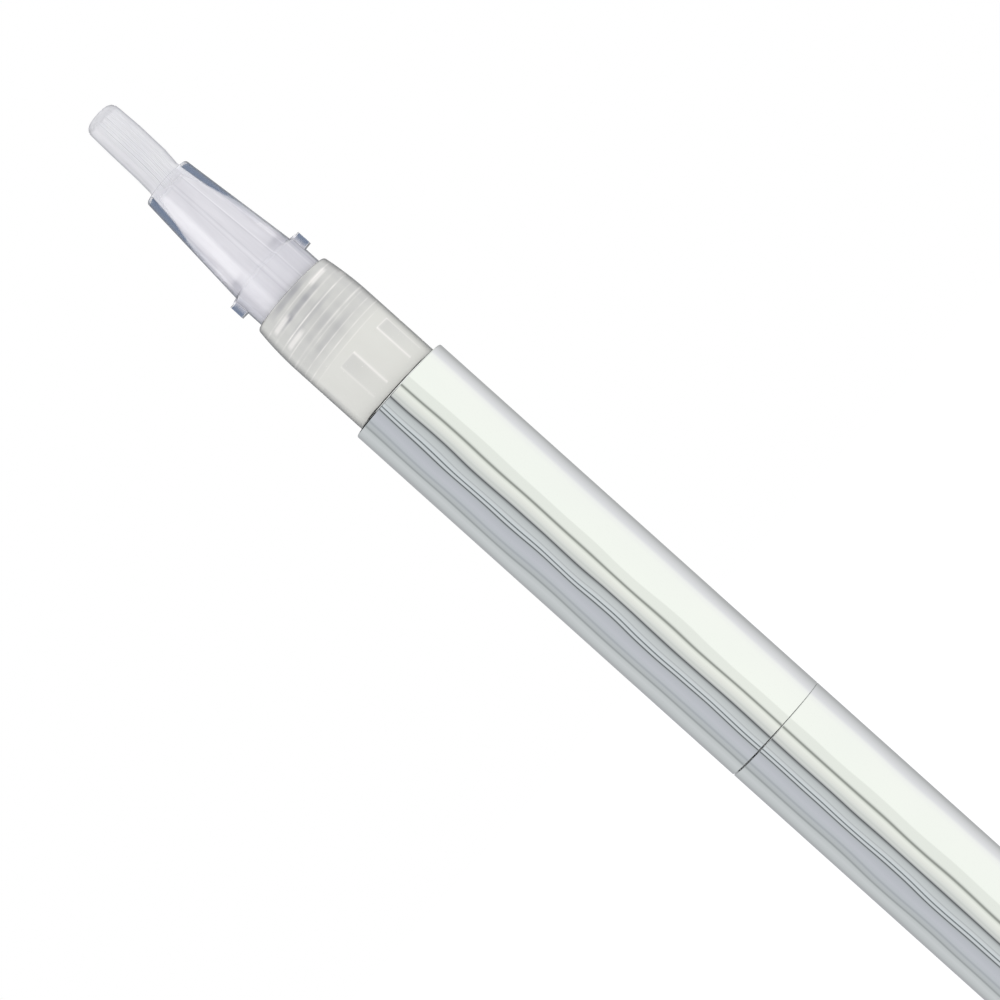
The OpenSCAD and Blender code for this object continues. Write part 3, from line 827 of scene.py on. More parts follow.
def grid_faces(rows: int, columns: int, loop: bool) -> np.ndarray:
    """Faces between the rows of a grid whose columns go round.

    The face at row i and column j joins it to the next row and the next column, counted on
    round the grid.

    Args:
        rows: Number of rows.
        columns: Number of columns.
        loop: Whether the last row joins the first.

    Returns:
        Four vertex numbers for each face.
    """
    i = np.arange(rows if loop else rows - 1)[:, None]
    j = np.arange(columns)[None, :]
    here, above = i * columns, (i + 1) % rows * columns
    across = (j + 1) % columns
    made = np.stack([here + j, here + across, above + across, above + j], axis=2)
    return made.reshape(-1, 4)


def even_turns(columns: int) -> np.ndarray:
    """Angles spaced evenly round the axis.

    Args:
        columns: Number of angles.

    Returns:
        Angles in radians.
    """
    return np.linspace(0, 2 * math.pi, columns, endpoint=False)


def off_turn(angles: np.ndarray, degrees: float) -> np.ndarray:
    """Angles measured from a given one, the short way round.

    Args:
        angles: Angles in radians.
        degrees: The angle to measure from, in degrees.

    Returns:
        Differences in radians, from minus to plus half a turn.
    """
    return (angles - math.radians(degrees) + math.pi) % (2 * math.pi) - math.pi


def turned_grid(outline: np.ndarray, angles: np.ndarray) -> np.ndarray:
    """Surface of revolution: (r, z) at angle t goes to (r cos t, r sin t, z).

    Args:
        outline: Points (r, z).
        angles: Angles in radians.

    Returns:
        Array of rows, columns and coordinates.
    """
    r, z = outline[:, 0:1], outline[:, 1:2]
    return np.stack([r * np.cos(angles), r * np.sin(angles), z + 0 * angles], axis=2)


def ring(name: str, grid: np.ndarray) -> Piece:
    """Closed ring-shaped piece from a grid whose rows and columns both go round.

    Args:
        name: Name of the object.
        grid: Array of rows, columns and coordinates.

    Returns:
        The object.
    """
    rows, columns = grid.shape[:2]
    return mesh_object(name, grid.reshape(-1, 3), grid_faces(rows, columns, True))


def disc(name: str, outline: np.ndarray, columns: int) -> Piece:
    """Turned solid whose outline starts and ends on the axis, with one vertex at each pole.

    Args:
        name: Name of the object.
        outline: Points (r, z); the first and the last have radius 0.
        columns: Number of columns.

    Returns:
        The object.
    """
    middle = turned_grid(outline[1:-1], even_turns(columns))
    rows = middle.shape[0]
    points = np.vstack([middle.reshape(-1, 3), [[0, 0, outline[0, 1]], [0, 0, outline[-1, 1]]]])
    here = np.arange(columns)
    across = (here + 1) % columns
    first, last = rows * columns + 0 * here, rows * columns + 1 + 0 * here
    end = (rows - 1) * columns
    near = np.stack([first, across, here], axis=1)
    far = np.stack([last, end + here, end + across], axis=1)
    return mesh_object(name, points, grid_faces(rows, columns, False), np.vstack([near, far]))


def place(piece: Piece, body: Body, finish: Finish, *nodes: str) -> None:
    """Hangs a piece on its body, gives it its finish and puts it in the place of CAD nodes.

    Args:
        piece: The object.
        body: The body that it rides on.
        finish: Its finish.
        *nodes: CAD nodes that it stands for.
    """
    piece.data.materials.clear()
    piece.data.materials.append(material_of(finish))
    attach(piece, body.value)
    if nodes:
        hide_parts(*nodes)


# Sub-assemblies


@dataclass
class Sleeve:
    """A bright drawn tube with rounded edges, whose lower end is cut a hair out of square."""

    name: str
    body: Body
    low: float
    high: float
    low_edge: float
    high_edge: float
    slant: float = 0.0
    outer: float = 5.495
    inner: float = 5.0
    inner_edge: float = 0.04
    steps: int = 8
    columns: int = 320

    def build(self) -> None:
        """Turns the outline into a tube and tilts its lower end.

        The lower end is the plane z = low - slant * x / outer.
        """
        outline = rounded(
            [
                (self.outer, self.low, self.low_edge),
                (self.outer, self.high, self.high_edge),
                (self.inner, self.high, self.inner_edge),
                (self.inner, self.low, self.inner_edge),
            ],
            self.steps,
        )
        grid = turned_grid(outline, even_turns(self.columns))
        end = outline[:, 1] < (self.low + self.high) / 2
        grid[end, :, 2] -= self.slant * grid[end, :, 0] / self.outer
        self.piece = ring(self.name + "_skin", grid)

    def dress(self) -> None:
        """Polished aluminium in place of the plain tube."""
        place(self.piece, self.body, Finish.ALUMINIUM, self.name)


@dataclass
class TailPlug:
    """The plug that closes the tail: a bright flange and a spigot inside the knob."""

    flange_r: float = 5.35
    flange_t: float = 0.8
    edge: float = 0.35
    spigot_r: float = 3.4
    spigot_end: float = 5.05
    spigot_edge: float = 0.08
    bore_r: float = 2.4
    floor_z: float = 1.4
    floor_edge: float = 0.2
    inner_edge: float = 0.05
    steps: int = 8
    columns: int = 256

    def build(self) -> None:
        """Turns the outline round the axis."""
        outline = rounded(
            [
                (0, 0, 0),
                (self.flange_r, 0, self.edge),
                (self.flange_r, self.flange_t, self.inner_edge),
                (self.spigot_r, self.flange_t, self.inner_edge),
                (self.spigot_r, self.spigot_end, self.spigot_edge),
                (self.bore_r, self.spigot_end, self.spigot_edge),
                (self.bore_r, self.floor_z, self.floor_edge),
                (0, self.floor_z, 0),
            ],
            self.steps,
        )
        self.piece = disc("end_plug_skin", outline, self.columns)

    def dress(self) -> None:
        """Polished aluminium in place of the plain plug."""
        place(self.piece, Body.KNOB, Finish.ALUMINIUM, "end_plug")


@dataclass
class Ferrule:
    """The clear cone with its plain base, side lugs and ringed plug."""

    plug_z: float = 96.9
    seat_z: float = 103.63
    base_end: float = 106.7
    cone_z: float = 106.97
    mouth_z: float = 118.5
    throat_z: float = 113.6
    step_z: float = 109.9
    socket_end: float = 107.5
    plug_r: float = 3.7
    plug_edge: float = 0.1
    base_r: float = 3.82
    base_edge: float = 0.06
    base_rows: Tuple[float, ...] = (106.45, 106.6)
    cone_r: float = 3.55
    cone_edge: float = 0.08
    cone_rows: Tuple[float, ...] = (107.1, 107.3)
    even_rows: Tuple[float, float, float] = (107.5, 118, 0.2)
    mouth_r: float = 2.57
    mouth_edge: float = 0.25
    mouth_bore: float = 1.9
    mouth_bore_edge: float = 0.12
    throat_r: float = 2.42
    throat_edge: float = 0.6
    cone_bore: float = 2.5
    cone_bore_edge: float = 0.2
    socket_r: float = 3.1
    socket_edge: float = 0.15
    ring_first: float = 97.75
    ring_pitch: float = 1.25
    ring_count: int = 5
    ring_h: float = 0.15
    ring_half: float = 0.05
    ring_foot: float = 0.2
    ring_edge: float = 0.05
    foot_edge: float = 0.04
    seat_edge: float = 0.03
    lug_face: float = 4.485
    lug_half: float = 0.9
    lug_low: float = 105.32
    lug_high: float = 106.92
    lug_edge: float = 0.06
    lug_rows: Tuple[float, ...] = (-0.12, -0.06, -0.03, 0, 0.03, 0.06, 0.12)
    parting_z: float = 106.1
    parting_w: float = 0.035
    parting_depth: float = 0.03
    columns: int = 300
    side_columns: int = 16
    side_gap: float = 0.02
    even_gap: float = 0.025
    haze_z: float = 112.2
    haze_reach: float = 8.5
    haze_fade: float = 1.1
    haze_most: float = 0.7
    haze_base: float = 0.5
    haze_thin: float = 0.25
    haze_side: float = 0.8
    haze_side_fade: float = 0.15
    haze_off_mouth: float = 0.3
    base_haze_up: float = 0.2
    base_haze_fade: float = 0.3
    lug_clear: float = 1.6
    flow_middle: float = 0.5
    # Painted highlight bands, evenly spaced round the cone
    highlight_count: int = 3
    highlight_turn: float = math.radians(-122)
    highlight_half: float = 0.2
    highlight_fade: float = 0.12
    highlight_strength: float = 0.45
    # Painted shade ring round the cone's foot, at the sides of the pen
    shade_ring_z: float = 107.4
    shade_ring_w: float = 0.5
    shade_ring_depth: float = 0.6
    shade_ring_side: float = 0.35
    shade_ring_side_fade: float = 0.4
    # Painted streaks of highlight and shade: angle in degrees, half width in radians, and how much
    # lighter the haze is there
    painted_streaks: Tuple[Tuple[float, float, float], ...] = (
        (-92, 0.014, -0.35),
        (-88, 0.012, 0.25),
        (-84, 0.016, -0.3),
        (-64, 0.012, -0.45),
        (-61.5, 0.012, 0.45),
        (30, 0.014, -0.4),
        (33, 0.012, 0.35),
        (116, 0.012, -0.45),
        (118.5, 0.012, 0.45),
        (160, 0.016, -0.3),
        (-10, 0.04, -0.4),
        (-19, 0.03, 0.35),
        (-27, 0.04, -0.35),
        (-37, 0.03, 0.3),
        (-148, 0.03, 0.3),
        (-156, 0.04, -0.35),
        (-164, 0.03, 0.35),
        (-171, 0.04, -0.4),
    )

    def corners(self) -> List[Tuple[float, float, float]]:
        """Corners of the outline, up the outside and down the bore.

        Returns:
            Radius, height and fillet of each corner.
        """
        made = [(self.plug_r, self.plug_z, self.plug_edge)]
        for i in range(self.ring_count):
            z = self.ring_first + i * self.ring_pitch
            top = self.plug_r + self.ring_h
            made += [
                (self.plug_r, z - self.ring_foot, self.foot_edge),
                (top, z - self.ring_half, self.ring_edge),
                (top, z + self.ring_half, self.ring_edge),
                (self.plug_r, z + self.ring_foot, self.foot_edge),
            ]
        made += [(self.plug_r, self.seat_z, self.seat_edge)]
        made += [(self.base_r, self.seat_z, self.base_edge)]
        near = sorted(z + step for z in (self.lug_low, self.parting_z) for step in self.lug_rows)
        made += [(self.base_r, z, 0) for z in (*near, *self.base_rows)]
        made += [(self.base_r, self.base_end, self.base_edge)]
        made += [(self.cone_r, self.cone_z, self.cone_edge)]
        slope = (self.cone_r - self.mouth_r) / (self.mouth_z - self.cone_z)
        for z in (*self.cone_rows, *np.arange(*self.even_rows)):
            made.append((self.cone_r - slope * (z - self.cone_z), z, 0))
        made += [
            (self.mouth_r, self.mouth_z, self.mouth_edge),
            (self.mouth_bore, self.mouth_z, self.mouth_bore_edge),
            (self.throat_r, self.throat_z, self.throat_edge),
            (self.cone_bore, self.step_z, self.cone_bore_edge),
            (self.socket_r, self.socket_end, self.socket_edge),
            (self.socket_r, self.plug_z, self.plug_edge),
        ]
        return made

    def angles(self) -> np.ndarray:
        """Even columns, with more of them along the sides of the lugs.

        Returns:
            Angles in radians, in order.
        """
        even = even_turns(self.columns)
        inner = math.asin(self.lug_half / self.lug_face)
        outer = math.asin(self.lug_half / self.base_r)
        near = np.linspace(inner - self.side_gap, outer + self.side_gap, self.side_columns)
        close = np.concatenate([s * near + c for s in (-1, 1) for c in (0, math.pi)])
        keep = np.abs(np.sin(even)) < math.sin(inner - self.even_gap)
        keep |= np.abs(np.sin(even)) > math.sin(outer + self.even_gap)
        return np.sort(np.concatenate([even[keep], close % (2 * math.pi)]))

    def lug_share(self, angles: np.ndarray, z: np.ndarray) -> np.ndarray:
        """How far the surface is lifted from the base to a lug's face, from 0 to 1.

        Across the pen the share falls evenly between the angles at which the lug's side meets
        its face and the base, so the side stands parallel to the middle plane. Along the pen it
        falls within one edge width.

        Args:
            angles: Angles in radians.
            z: Height of each row.

        Returns:
            Array of rows and columns.
        """
        inner = math.asin(self.lug_half / self.lug_face)
        outer = math.asin(self.lug_half / self.base_r)
        away = np.arcsin(np.abs(np.sin(angles)))
        across = np.clip((outer - away) / (outer - inner), 0, 1)
        along = np.clip((z - self.lug_low) / self.lug_edge, 0, 1)
        along = along * np.clip((self.lug_high - z) / self.lug_edge, 0, 1)
        return along[:, None] * across[None, :]

    def haze(self, z: np.ndarray, angles: np.ndarray) -> np.ndarray:
        """How milky the plastic is: clear at the mouth, hazy from the cone's middle to the base.

        The haze ends in a curved front, which lies further back at the sides of the pen than
        at its front and back. It is thinner at the sides, and the lugs clear up to their faces.

        Args:
            z: Height of each row.
            angles: Angles in radians.

        Returns:
            Array of rows and columns, from 0 to 1.
        """
        side = np.abs(np.cos(angles))
        front = self.haze_z + self.haze_reach * (1 - side**2)
        front = np.minimum(front, self.mouth_z - self.haze_off_mouth)
        amount = np.clip((front[None, :] - z[:, None]) / self.haze_fade, 0, 1)
        thin = np.clip((side - self.haze_side) / self.haze_side_fade, 0, 1)
        most = self.haze_most - self.haze_thin * thin
        amount = most[None, :] * amount * amount * (3 - 2 * amount)
        lower = np.clip((self.cone_z + self.base_haze_up - z) / self.base_haze_fade, 0, 1)
        amount = amount * (1 - lower[:, None]) + self.haze_base * lower[:, None]
        share = self.lug_share(angles, z)
        return amount * np.clip(1 - self.lug_clear * share, 0, 1)

    def streaks_and_painted_light(self, z: np.ndarray, angles: np.ndarray) -> np.ndarray:
        """How light the haze is: painted highlight bands, and fine painted streaks of highlight and
        shade.

        Each streak is bell-shaped across its width. A painted shade ring runs round the cone's foot
        at the sides of the pen.

        Args:
            z: Height of each row.
            angles: Angles in radians.

        Returns:
            Array of rows and columns, from 0 to 1.
        """
        step = 2 * math.pi / self.highlight_count
        away = np.abs((angles - self.highlight_turn + step / 2) % step - step / 2)
        band = np.clip((self.highlight_half - away) / self.highlight_fade + 0.5, 0, 1)
        value = self.flow_middle + self.highlight_strength * band
        for turn, width, depth in self.painted_streaks:
            value = value + depth * np.exp(-((off_turn(angles, turn) / width) ** 2))
        foot = np.exp(-(((z - self.shade_ring_z) / self.shade_ring_w) ** 4))
        side = np.clip((np.abs(np.cos(angles)) - self.shade_ring_side) / self.shade_ring_side_fade, 0, 1)
        return np.clip(value[None, :] - self.shade_ring_depth * foot[:, None] * side[None, :], 0, 1)

    def build(self) -> None:
        """Lifts the lugs out of the turned surface.

        A lug's face is the plane x = lug_face, so at the angle t it has the radius
        lug_face / cos t, less a fine dip along the parting line.
        """
        outline = rounded(self.corners(), steps=3, support=0.02)
        angles = self.angles()
        grid = turned_grid(outline, angles)
        r, z = outline[:, 0], outline[:, 1]
        outside = r > (self.socket_r + self.base_r) / 2
        face = self.lug_face / np.maximum(np.abs(np.cos(angles)), 0.5)
        share = self.lug_share(angles, z) * outside[:, None]
        line = self.parting_depth * np.exp(-(((z - self.parting_z) / self.parting_w) ** 2))
        radius = r[:, None] + (face[None, :] - line[:, None] - r[:, None]) * share
        grid[:, :, 0] = radius * np.cos(angles)
        grid[:, :, 1] = radius * np.sin(angles)
        self.piece = ring("ferrule_skin", grid)
        paint_layer(self.piece, "haze", self.haze(z, angles))
        paint_layer(self.piece, "streaks_and_painted_light", self.streaks_and_painted_light(z, angles))

    def dress(self) -> None:
        """Clear plastic in place of the plain cone."""
        place(self.piece, Body.BARREL, Finish.CLEAR, "ferrule")


@dataclass
class Collar:
    """The frosted collar: rounded shoulder, shadow groove, snap grooves and key pockets inside."""

    skirt_z: float = 84.8
    groove_low: float = 90.15
    groove_high: float = 90.85
    shoulder_z: float = 98.7
    face_z: float = 103.6
    skirt_r: float = 4.97
    groove_r: float = 4.505
    wall_r: float = 4.725
    shoulder_drop: float = 0.4
    corner: float = 0.3
    bore_r: float = 3.73
    ledge_front: float = 96.85
    ledge_back: float = 95.95
    ledge_r: float = 3.3
    tube_r: float = 4.15
    ring_first: float = 97.75
    ring_pitch: float = 1.25
    ring_count: int = 5
    ring_h: float = 0.16
    key_r: float = 4.43
    key_low: float = 91.67
    key_high: float = 95.73
    key_half: float = 0.78
    key_turn: float = math.radians(-102.3)
    key_count: int = 6
    line_w: float = 0.06
    ring_tilt: float = 0.22
    row_step: float = 0.05
    plain_row_step: float = 0.25
    plain_start: float = 0.3
    plain_past: float = 0.15
    ringed_start: float = 0.2
    face_in: float = 0.02
    corner_steps: int = 4
    corner_support: float = 0.02
    same_r: float = 0.01
    paint_over: float = 0.05
    key_rows: Tuple[float, ...] = (-0.12, -0.05, 0, 0.05, 0.12)
    rim_rows: Tuple[float, ...] = (0.08, 0.11, 0.14, 0.17, 0.2)
    columns: int = 210
    key_columns: int = 7
    key_near: float = 0.13
    key_even_gap: float = 0.14
    key_side: float = 0.03
    key_end: float = 0.05
    key_end_rows: Tuple[float, ...] = (0.1, 0.05, 0, -0.05, -0.1)
    skirt_edge: float = 0.08
    groove_edge: float = 0.03
    bore_edge: float = 0.06
    ring_half: float = 0.05
    ring_foot: float = 0.22
    ledge_edge: float = 0.05
    rim_shadow_reach: float = 0.05
    rim_shadow_swing: float = 0.08
    rim_shadow_fade: float = 0.05
    block_half: float = 0.22
    block_fade: float = 0.18
    block_turn: float = 0.26
    block_turn_fade: float = 0.14
    block_light: float = 0.7
    line_spread: Tuple[float, float] = (0.8, 1.5)
    line_least: float = 0.25
    waves: Tuple[int, ...] = (2, 3, 5, 9, 14, 23)
    wave_middle: float = 0.45
    wave_swing: float = 0.32
    wave_fall: float = 0.35
    key_side_w: float = 0.1
    key_end_w: float = 0.07
    key_end_back: float = 0.05
    key_end_light: float = 0.6
    key_end_turn: float = -0.7
    key_glint_turn: float = math.radians(-72)
    key_shade: float = 0.22
    key_fade: float = 0.1
    key_start_fade: float = 0.2
    front_back: float = 0.4
    front_fade: float = 1.6
    front_shade: float = 0.22
    patch_up: float = 0.5
    patch_half: float = 0.3
    patch_lobes: int = 3
    patch_turn: float = math.radians(-92)
    patch_swing: float = 0.9
    # How dark the painted shade patches beyond each ring are
    patches: Tuple[float, ...] = (0.25, 0.25, 0.35, 0.75, 0.6)
    # Height and strength of each painted highlight line round the wall
    edges: Tuple[Tuple[float, float], ...] = (
        (96.62, 0.5),
        (97.25, 0.9),
        (97.97, 0.7),
        (98.78, 0.35),
        (99.12, 0.7),
        (99.95, 0.6),
        (100.85, 1.0),
        (101.7, 0.45),
        (102.6, 0.6),
    )
    # Height, and angle in degrees, of each painted highlight block
    blocks: Tuple[Tuple[float, float], ...] = (
        (102.2, -126),
        (100.4, -127),
        (102.5, -52),
        (101.2, -8),
        (102.3, 66),
        (100.5, 128),
    )
    seed: int = 11

    def corners(self) -> List[Tuple[float, float, float]]:
        """Corners of the outline, up the outside and down the bore.

        The shoulder is an arc that starts upright at shoulder_z and drops by shoulder_drop up
        to the face. Close rows stand where a layer changes fast.

        Returns:
            Radius, height and fillet of each corner.
        """
        made = [
            (self.skirt_r, self.skirt_z, self.skirt_edge),
            (self.skirt_r, self.groove_low, self.groove_edge),
            (self.groove_r, self.groove_low, self.groove_edge),
            (self.groove_r, self.groove_high, self.groove_edge),
            (self.wall_r, self.groove_high, self.groove_edge),
        ]
        made += [(self.wall_r, self.groove_high + step, 0) for step in self.rim_rows]
        start, end = self.groove_high + self.plain_start, self.key_high + self.plain_past
        wide = np.arange(start, end, self.plain_row_step)
        near = [end + step for end in (self.key_low, self.key_high) for step in self.key_rows]
        made += [(self.wall_r, z, 0) for z in sorted([*wide, *near])]
        ringed = np.arange(self.key_high + self.ringed_start, self.shoulder_z, self.row_step)
        made += [(self.wall_r, z, 0) for z in ringed]
        length, drop = self.face_z - self.shoulder_z, self.shoulder_drop
        big = (length**2 + drop**2) / (2 * drop)
        for z in np.arange(self.shoulder_z, self.face_z - self.corner, self.row_step):
            r = self.wall_r - big + math.sqrt(big**2 - (z - self.shoulder_z) ** 2)
            made.append((r, z, 0))
        made += [(self.wall_r - drop + self.face_in, self.face_z, self.corner)]
        made += [(self.bore_r, self.face_z, self.bore_edge)]
        for i in reversed(range(self.ring_count)):
            z = self.ring_first + i * self.ring_pitch
            top = self.bore_r + self.ring_h
            made += [
                (self.bore_r, z + self.ring_foot, 0),
                (top, z + self.ring_half, self.ledge_edge),
                (top, z - self.ring_half, self.ledge_edge),
                (self.bore_r, z - self.ring_foot, 0),
            ]
        made += [
            (self.bore_r, self.ledge_front, self.ledge_edge),
            (self.ledge_r, self.ledge_front, self.ledge_edge),
            (self.ledge_r, self.ledge_back, self.ledge_edge),
            (self.tube_r, self.ledge_back, self.ledge_edge),
        ]
        for z in (self.key_high, self.key_low):
            made += [(self.tube_r, z + step, 0) for step in self.key_end_rows]
        made += [(self.tube_r, self.skirt_z, self.ledge_edge)]
        return made

    def key_away(self, angles: np.ndarray) -> np.ndarray:
        """Distance round the wall to the middle of the nearest key.

        Args:
            angles: Angles in radians.

        Returns:
            Distances in millimetres on the pocket's wall.
        """
        step = 2 * math.pi / self.key_count
        turn = (angles - self.key_turn + step / 2) % step - step / 2
        return np.abs(turn) * self.tube_r

    def wander(self, rng: np.random.Generator, angles: np.ndarray) -> np.ndarray:
        """Smooth random swing round the collar, from 0 to 1: a sum of waves, finer ones weaker.

        Args:
            rng: Random numbers.
            angles: Angles in radians.

        Returns:
            One value for each angle.
        """
        total = np.zeros(len(angles))
        for n in self.waves:
            total += np.cos(n * angles + rng.uniform(0, 2 * math.pi)) / n**self.wave_fall
        return np.clip(self.wave_middle + self.wave_swing * total, 0, 1)

    def tilted(self, z: np.ndarray, angles: np.ndarray) -> np.ndarray:
        """Height of each point over the ferrule's rings, which look a little tilted in the wall.

        Args:
            z: Height of each row.
            angles: Angles in radians.

        Returns:
            Array of rows and columns in millimetres.
        """
        return z[:, None] - self.ring_tilt * np.cos(angles)[None, :]

    def inner_highlight(self, z: np.ndarray, angles: np.ndarray) -> np.ndarray:
        """Painted highlight: how much brighter the wall is painted where an inner edge catches the
        light.

        Bell-shaped lines stand over the edges of the rings, and over the long sides and the front
        end of each key pocket, where they are painted as a glint that is strongest at set angles.
        Each line swells and fades round the collar, and short wider blocks of painted highlight lie
        between the first rings.

        Args:
            z: Height of each row.
            angles: Angles in radians.

        Returns:
            Array of rows and columns, from 0 to 1.
        """
        rng = np.random.default_rng(self.seed)
        height = self.tilted(z, angles)
        light = np.zeros(height.shape)
        for edge, strength in self.edges:
            width = self.line_w * rng.uniform(*self.line_spread)
            line = np.exp(-(((height - edge) / width) ** 2))
            swell = self.line_least + (1 - self.line_least) * self.wander(rng, angles)
            light += strength * line * swell[None, :]
        for edge, turn in self.blocks:
            off = np.abs(off_turn(angles, turn))
            block = np.clip(0.5 + (self.block_half - np.abs(height - edge)) / self.block_fade, 0, 1)
            wide = np.clip(0.5 + (self.block_turn - off) / self.block_turn_fade, 0, 1)
            light += self.block_light * block * wide[None, :]
        away = self.key_away(angles)
        side = np.exp(-(((away - self.key_half) / self.key_side_w) ** 2))
        # Painted glint along the pocket sides, strongest at two opposite angles
        glint = (0.5 + 0.5 * np.cos(2 * (angles - self.key_glint_turn))) ** 2
        inside = np.clip((z - self.key_low) / self.key_fade, 0, 1)
        inside = inside * np.clip((self.key_high - z) / self.key_end_back, 0, 1)
        light += inside[:, None] * (side * glint)[None, :]
        end = np.exp(-(((z - self.key_high + self.key_end_back) / self.key_end_w) ** 2))
        within = np.clip((self.key_half + self.key_side_w - away) / self.key_side_w, 0, 1)
        within = within * (0.5 + 0.5 * np.cos(angles - self.key_end_turn)) ** 4
        light += self.key_end_light * end[:, None] * within[None, :]
        return np.clip(light, 0, 1)

    def inner_shade(self, z: np.ndarray, angles: np.ndarray) -> np.ndarray:
        """Painted shade: how much darker the wall is painted over the rings and in the key pockets.

        The whole ringed stretch is painted a little darker than the rest, and short patches of
        painted shade lie between the rings.

        Args:
            z: Height of each row.
            angles: Angles in radians.

        Returns:
            Array of rows and columns, from 0 to 1.
        """
        rng = np.random.default_rng(self.seed + 1)
        height = self.tilted(z, angles)
        front = np.clip((height - self.ledge_front + self.front_back) / self.front_fade, 0, 1)
        shade = front * (self.front_shade * (1 + self.wander(rng, angles)))[None, :]
        turn = angles - self.patch_turn
        lobe = np.clip(0.5 + self.patch_swing * np.cos(self.patch_lobes * turn), 0, 1)
        for i, dark in enumerate(self.patches):
            middle = self.ring_first + i * self.ring_pitch + self.patch_up
            band = np.exp(-(((height - middle) / self.patch_half) ** 4))
            patch = lobe * (0.5 + 0.5 * self.wander(rng, angles))
            shade += dark * band * patch[None, :]
        pocket = np.clip((self.key_half - self.key_away(angles)) / self.key_fade, 0, 1)
        inside = np.clip((z - self.key_low) / self.key_start_fade, 0, 1)
        inside = inside * np.clip((self.key_high - z) / self.key_fade, 0, 1)
        fade = np.clip((z - self.key_low) / (self.key_high - self.key_low), 0, 1)
        shade += self.key_shade * (inside * fade)[:, None] * pocket[None, :]
        return np.clip(shade, 0, 1)

    def rim_shadow(self, z: np.ndarray, angles: np.ndarray) -> np.ndarray:
        """Painted shadow: how dark the groove and its front edge are painted under the sleeve's
        rim.

        Args:
            z: Height of each row.
            angles: Angles in radians.

        Returns:
            Array of rows and columns, from 0 to 1.
        """
        rng = np.random.default_rng(self.seed + 2)
        reach = self.rim_shadow_reach + self.rim_shadow_swing * self.wander(rng, angles)
        over = z[:, None] - self.groove_high - reach[None, :]
        return np.clip(0.5 - over / self.rim_shadow_fade, 0, 1)

    def angles(self) -> np.ndarray:
        """Even columns, with more of them along the sides of the key pockets.

        Returns:
            Angles in radians, in order.
        """
        even = even_turns(self.columns)
        keep = np.abs(self.key_away(even) - self.key_half) > self.key_even_gap
        low, high = self.key_half - self.key_near, self.key_half + self.key_near
        near = np.linspace(low, high, self.key_columns) / self.tube_r
        close = [
            self.key_turn + k * 2 * math.pi / self.key_count + side * near
            for k in range(self.key_count)
            for side in (-1, 1)
        ]
        return np.sort(np.concatenate([even[keep], np.concatenate(close) % (2 * math.pi)]))

    def build(self) -> None:
        """Turns the outline and sinks the key pockets into the bore.

        A pocket is as deep as the key's radius allows where both its length and its width
        cover the point, and rises to the bore within a narrow side.
        """
        outline = rounded(self.corners(), self.corner_steps, self.corner_support)
        angles = self.angles()
        grid = turned_grid(outline, angles)
        r, z = outline[:, 0], outline[:, 1]
        wall = np.abs(r - self.tube_r) < self.same_r
        along = np.clip((z - self.key_low) / self.key_end, 0, 1)
        along = along * np.clip((self.key_high - z) / self.key_end, 0, 1)
        across = np.clip((self.key_half - self.key_away(angles)) / self.key_side, 0, 1)
        deep = (wall * along)[:, None] * across[None, :] * (self.key_r - self.tube_r)
        radius = r[:, None] + deep
        grid[:, :, 0] = radius * np.cos(angles)
        grid[:, :, 1] = radius * np.sin(angles)
        self.piece = ring("collar_skin", grid)
        outside = (r > self.tube_r + self.paint_over) & (z > self.groove_low)
        # Painted highlight and shade of the inner edges, and the painted shadow under the rim
        paint_layer(self.piece, "inner_highlight", self.inner_highlight(z, angles) * outside[:, None])
        paint_layer(self.piece, "inner_shade", self.inner_shade(z, angles) * outside[:, None])
        paint_layer(self.piece, "rim_shadow", self.rim_shadow(z, angles))

    def dress(self) -> None:
        """Frosted plastic in place of the plain collar."""
        place(self.piece, Body.BARREL, Finish.FROSTED, "collar")


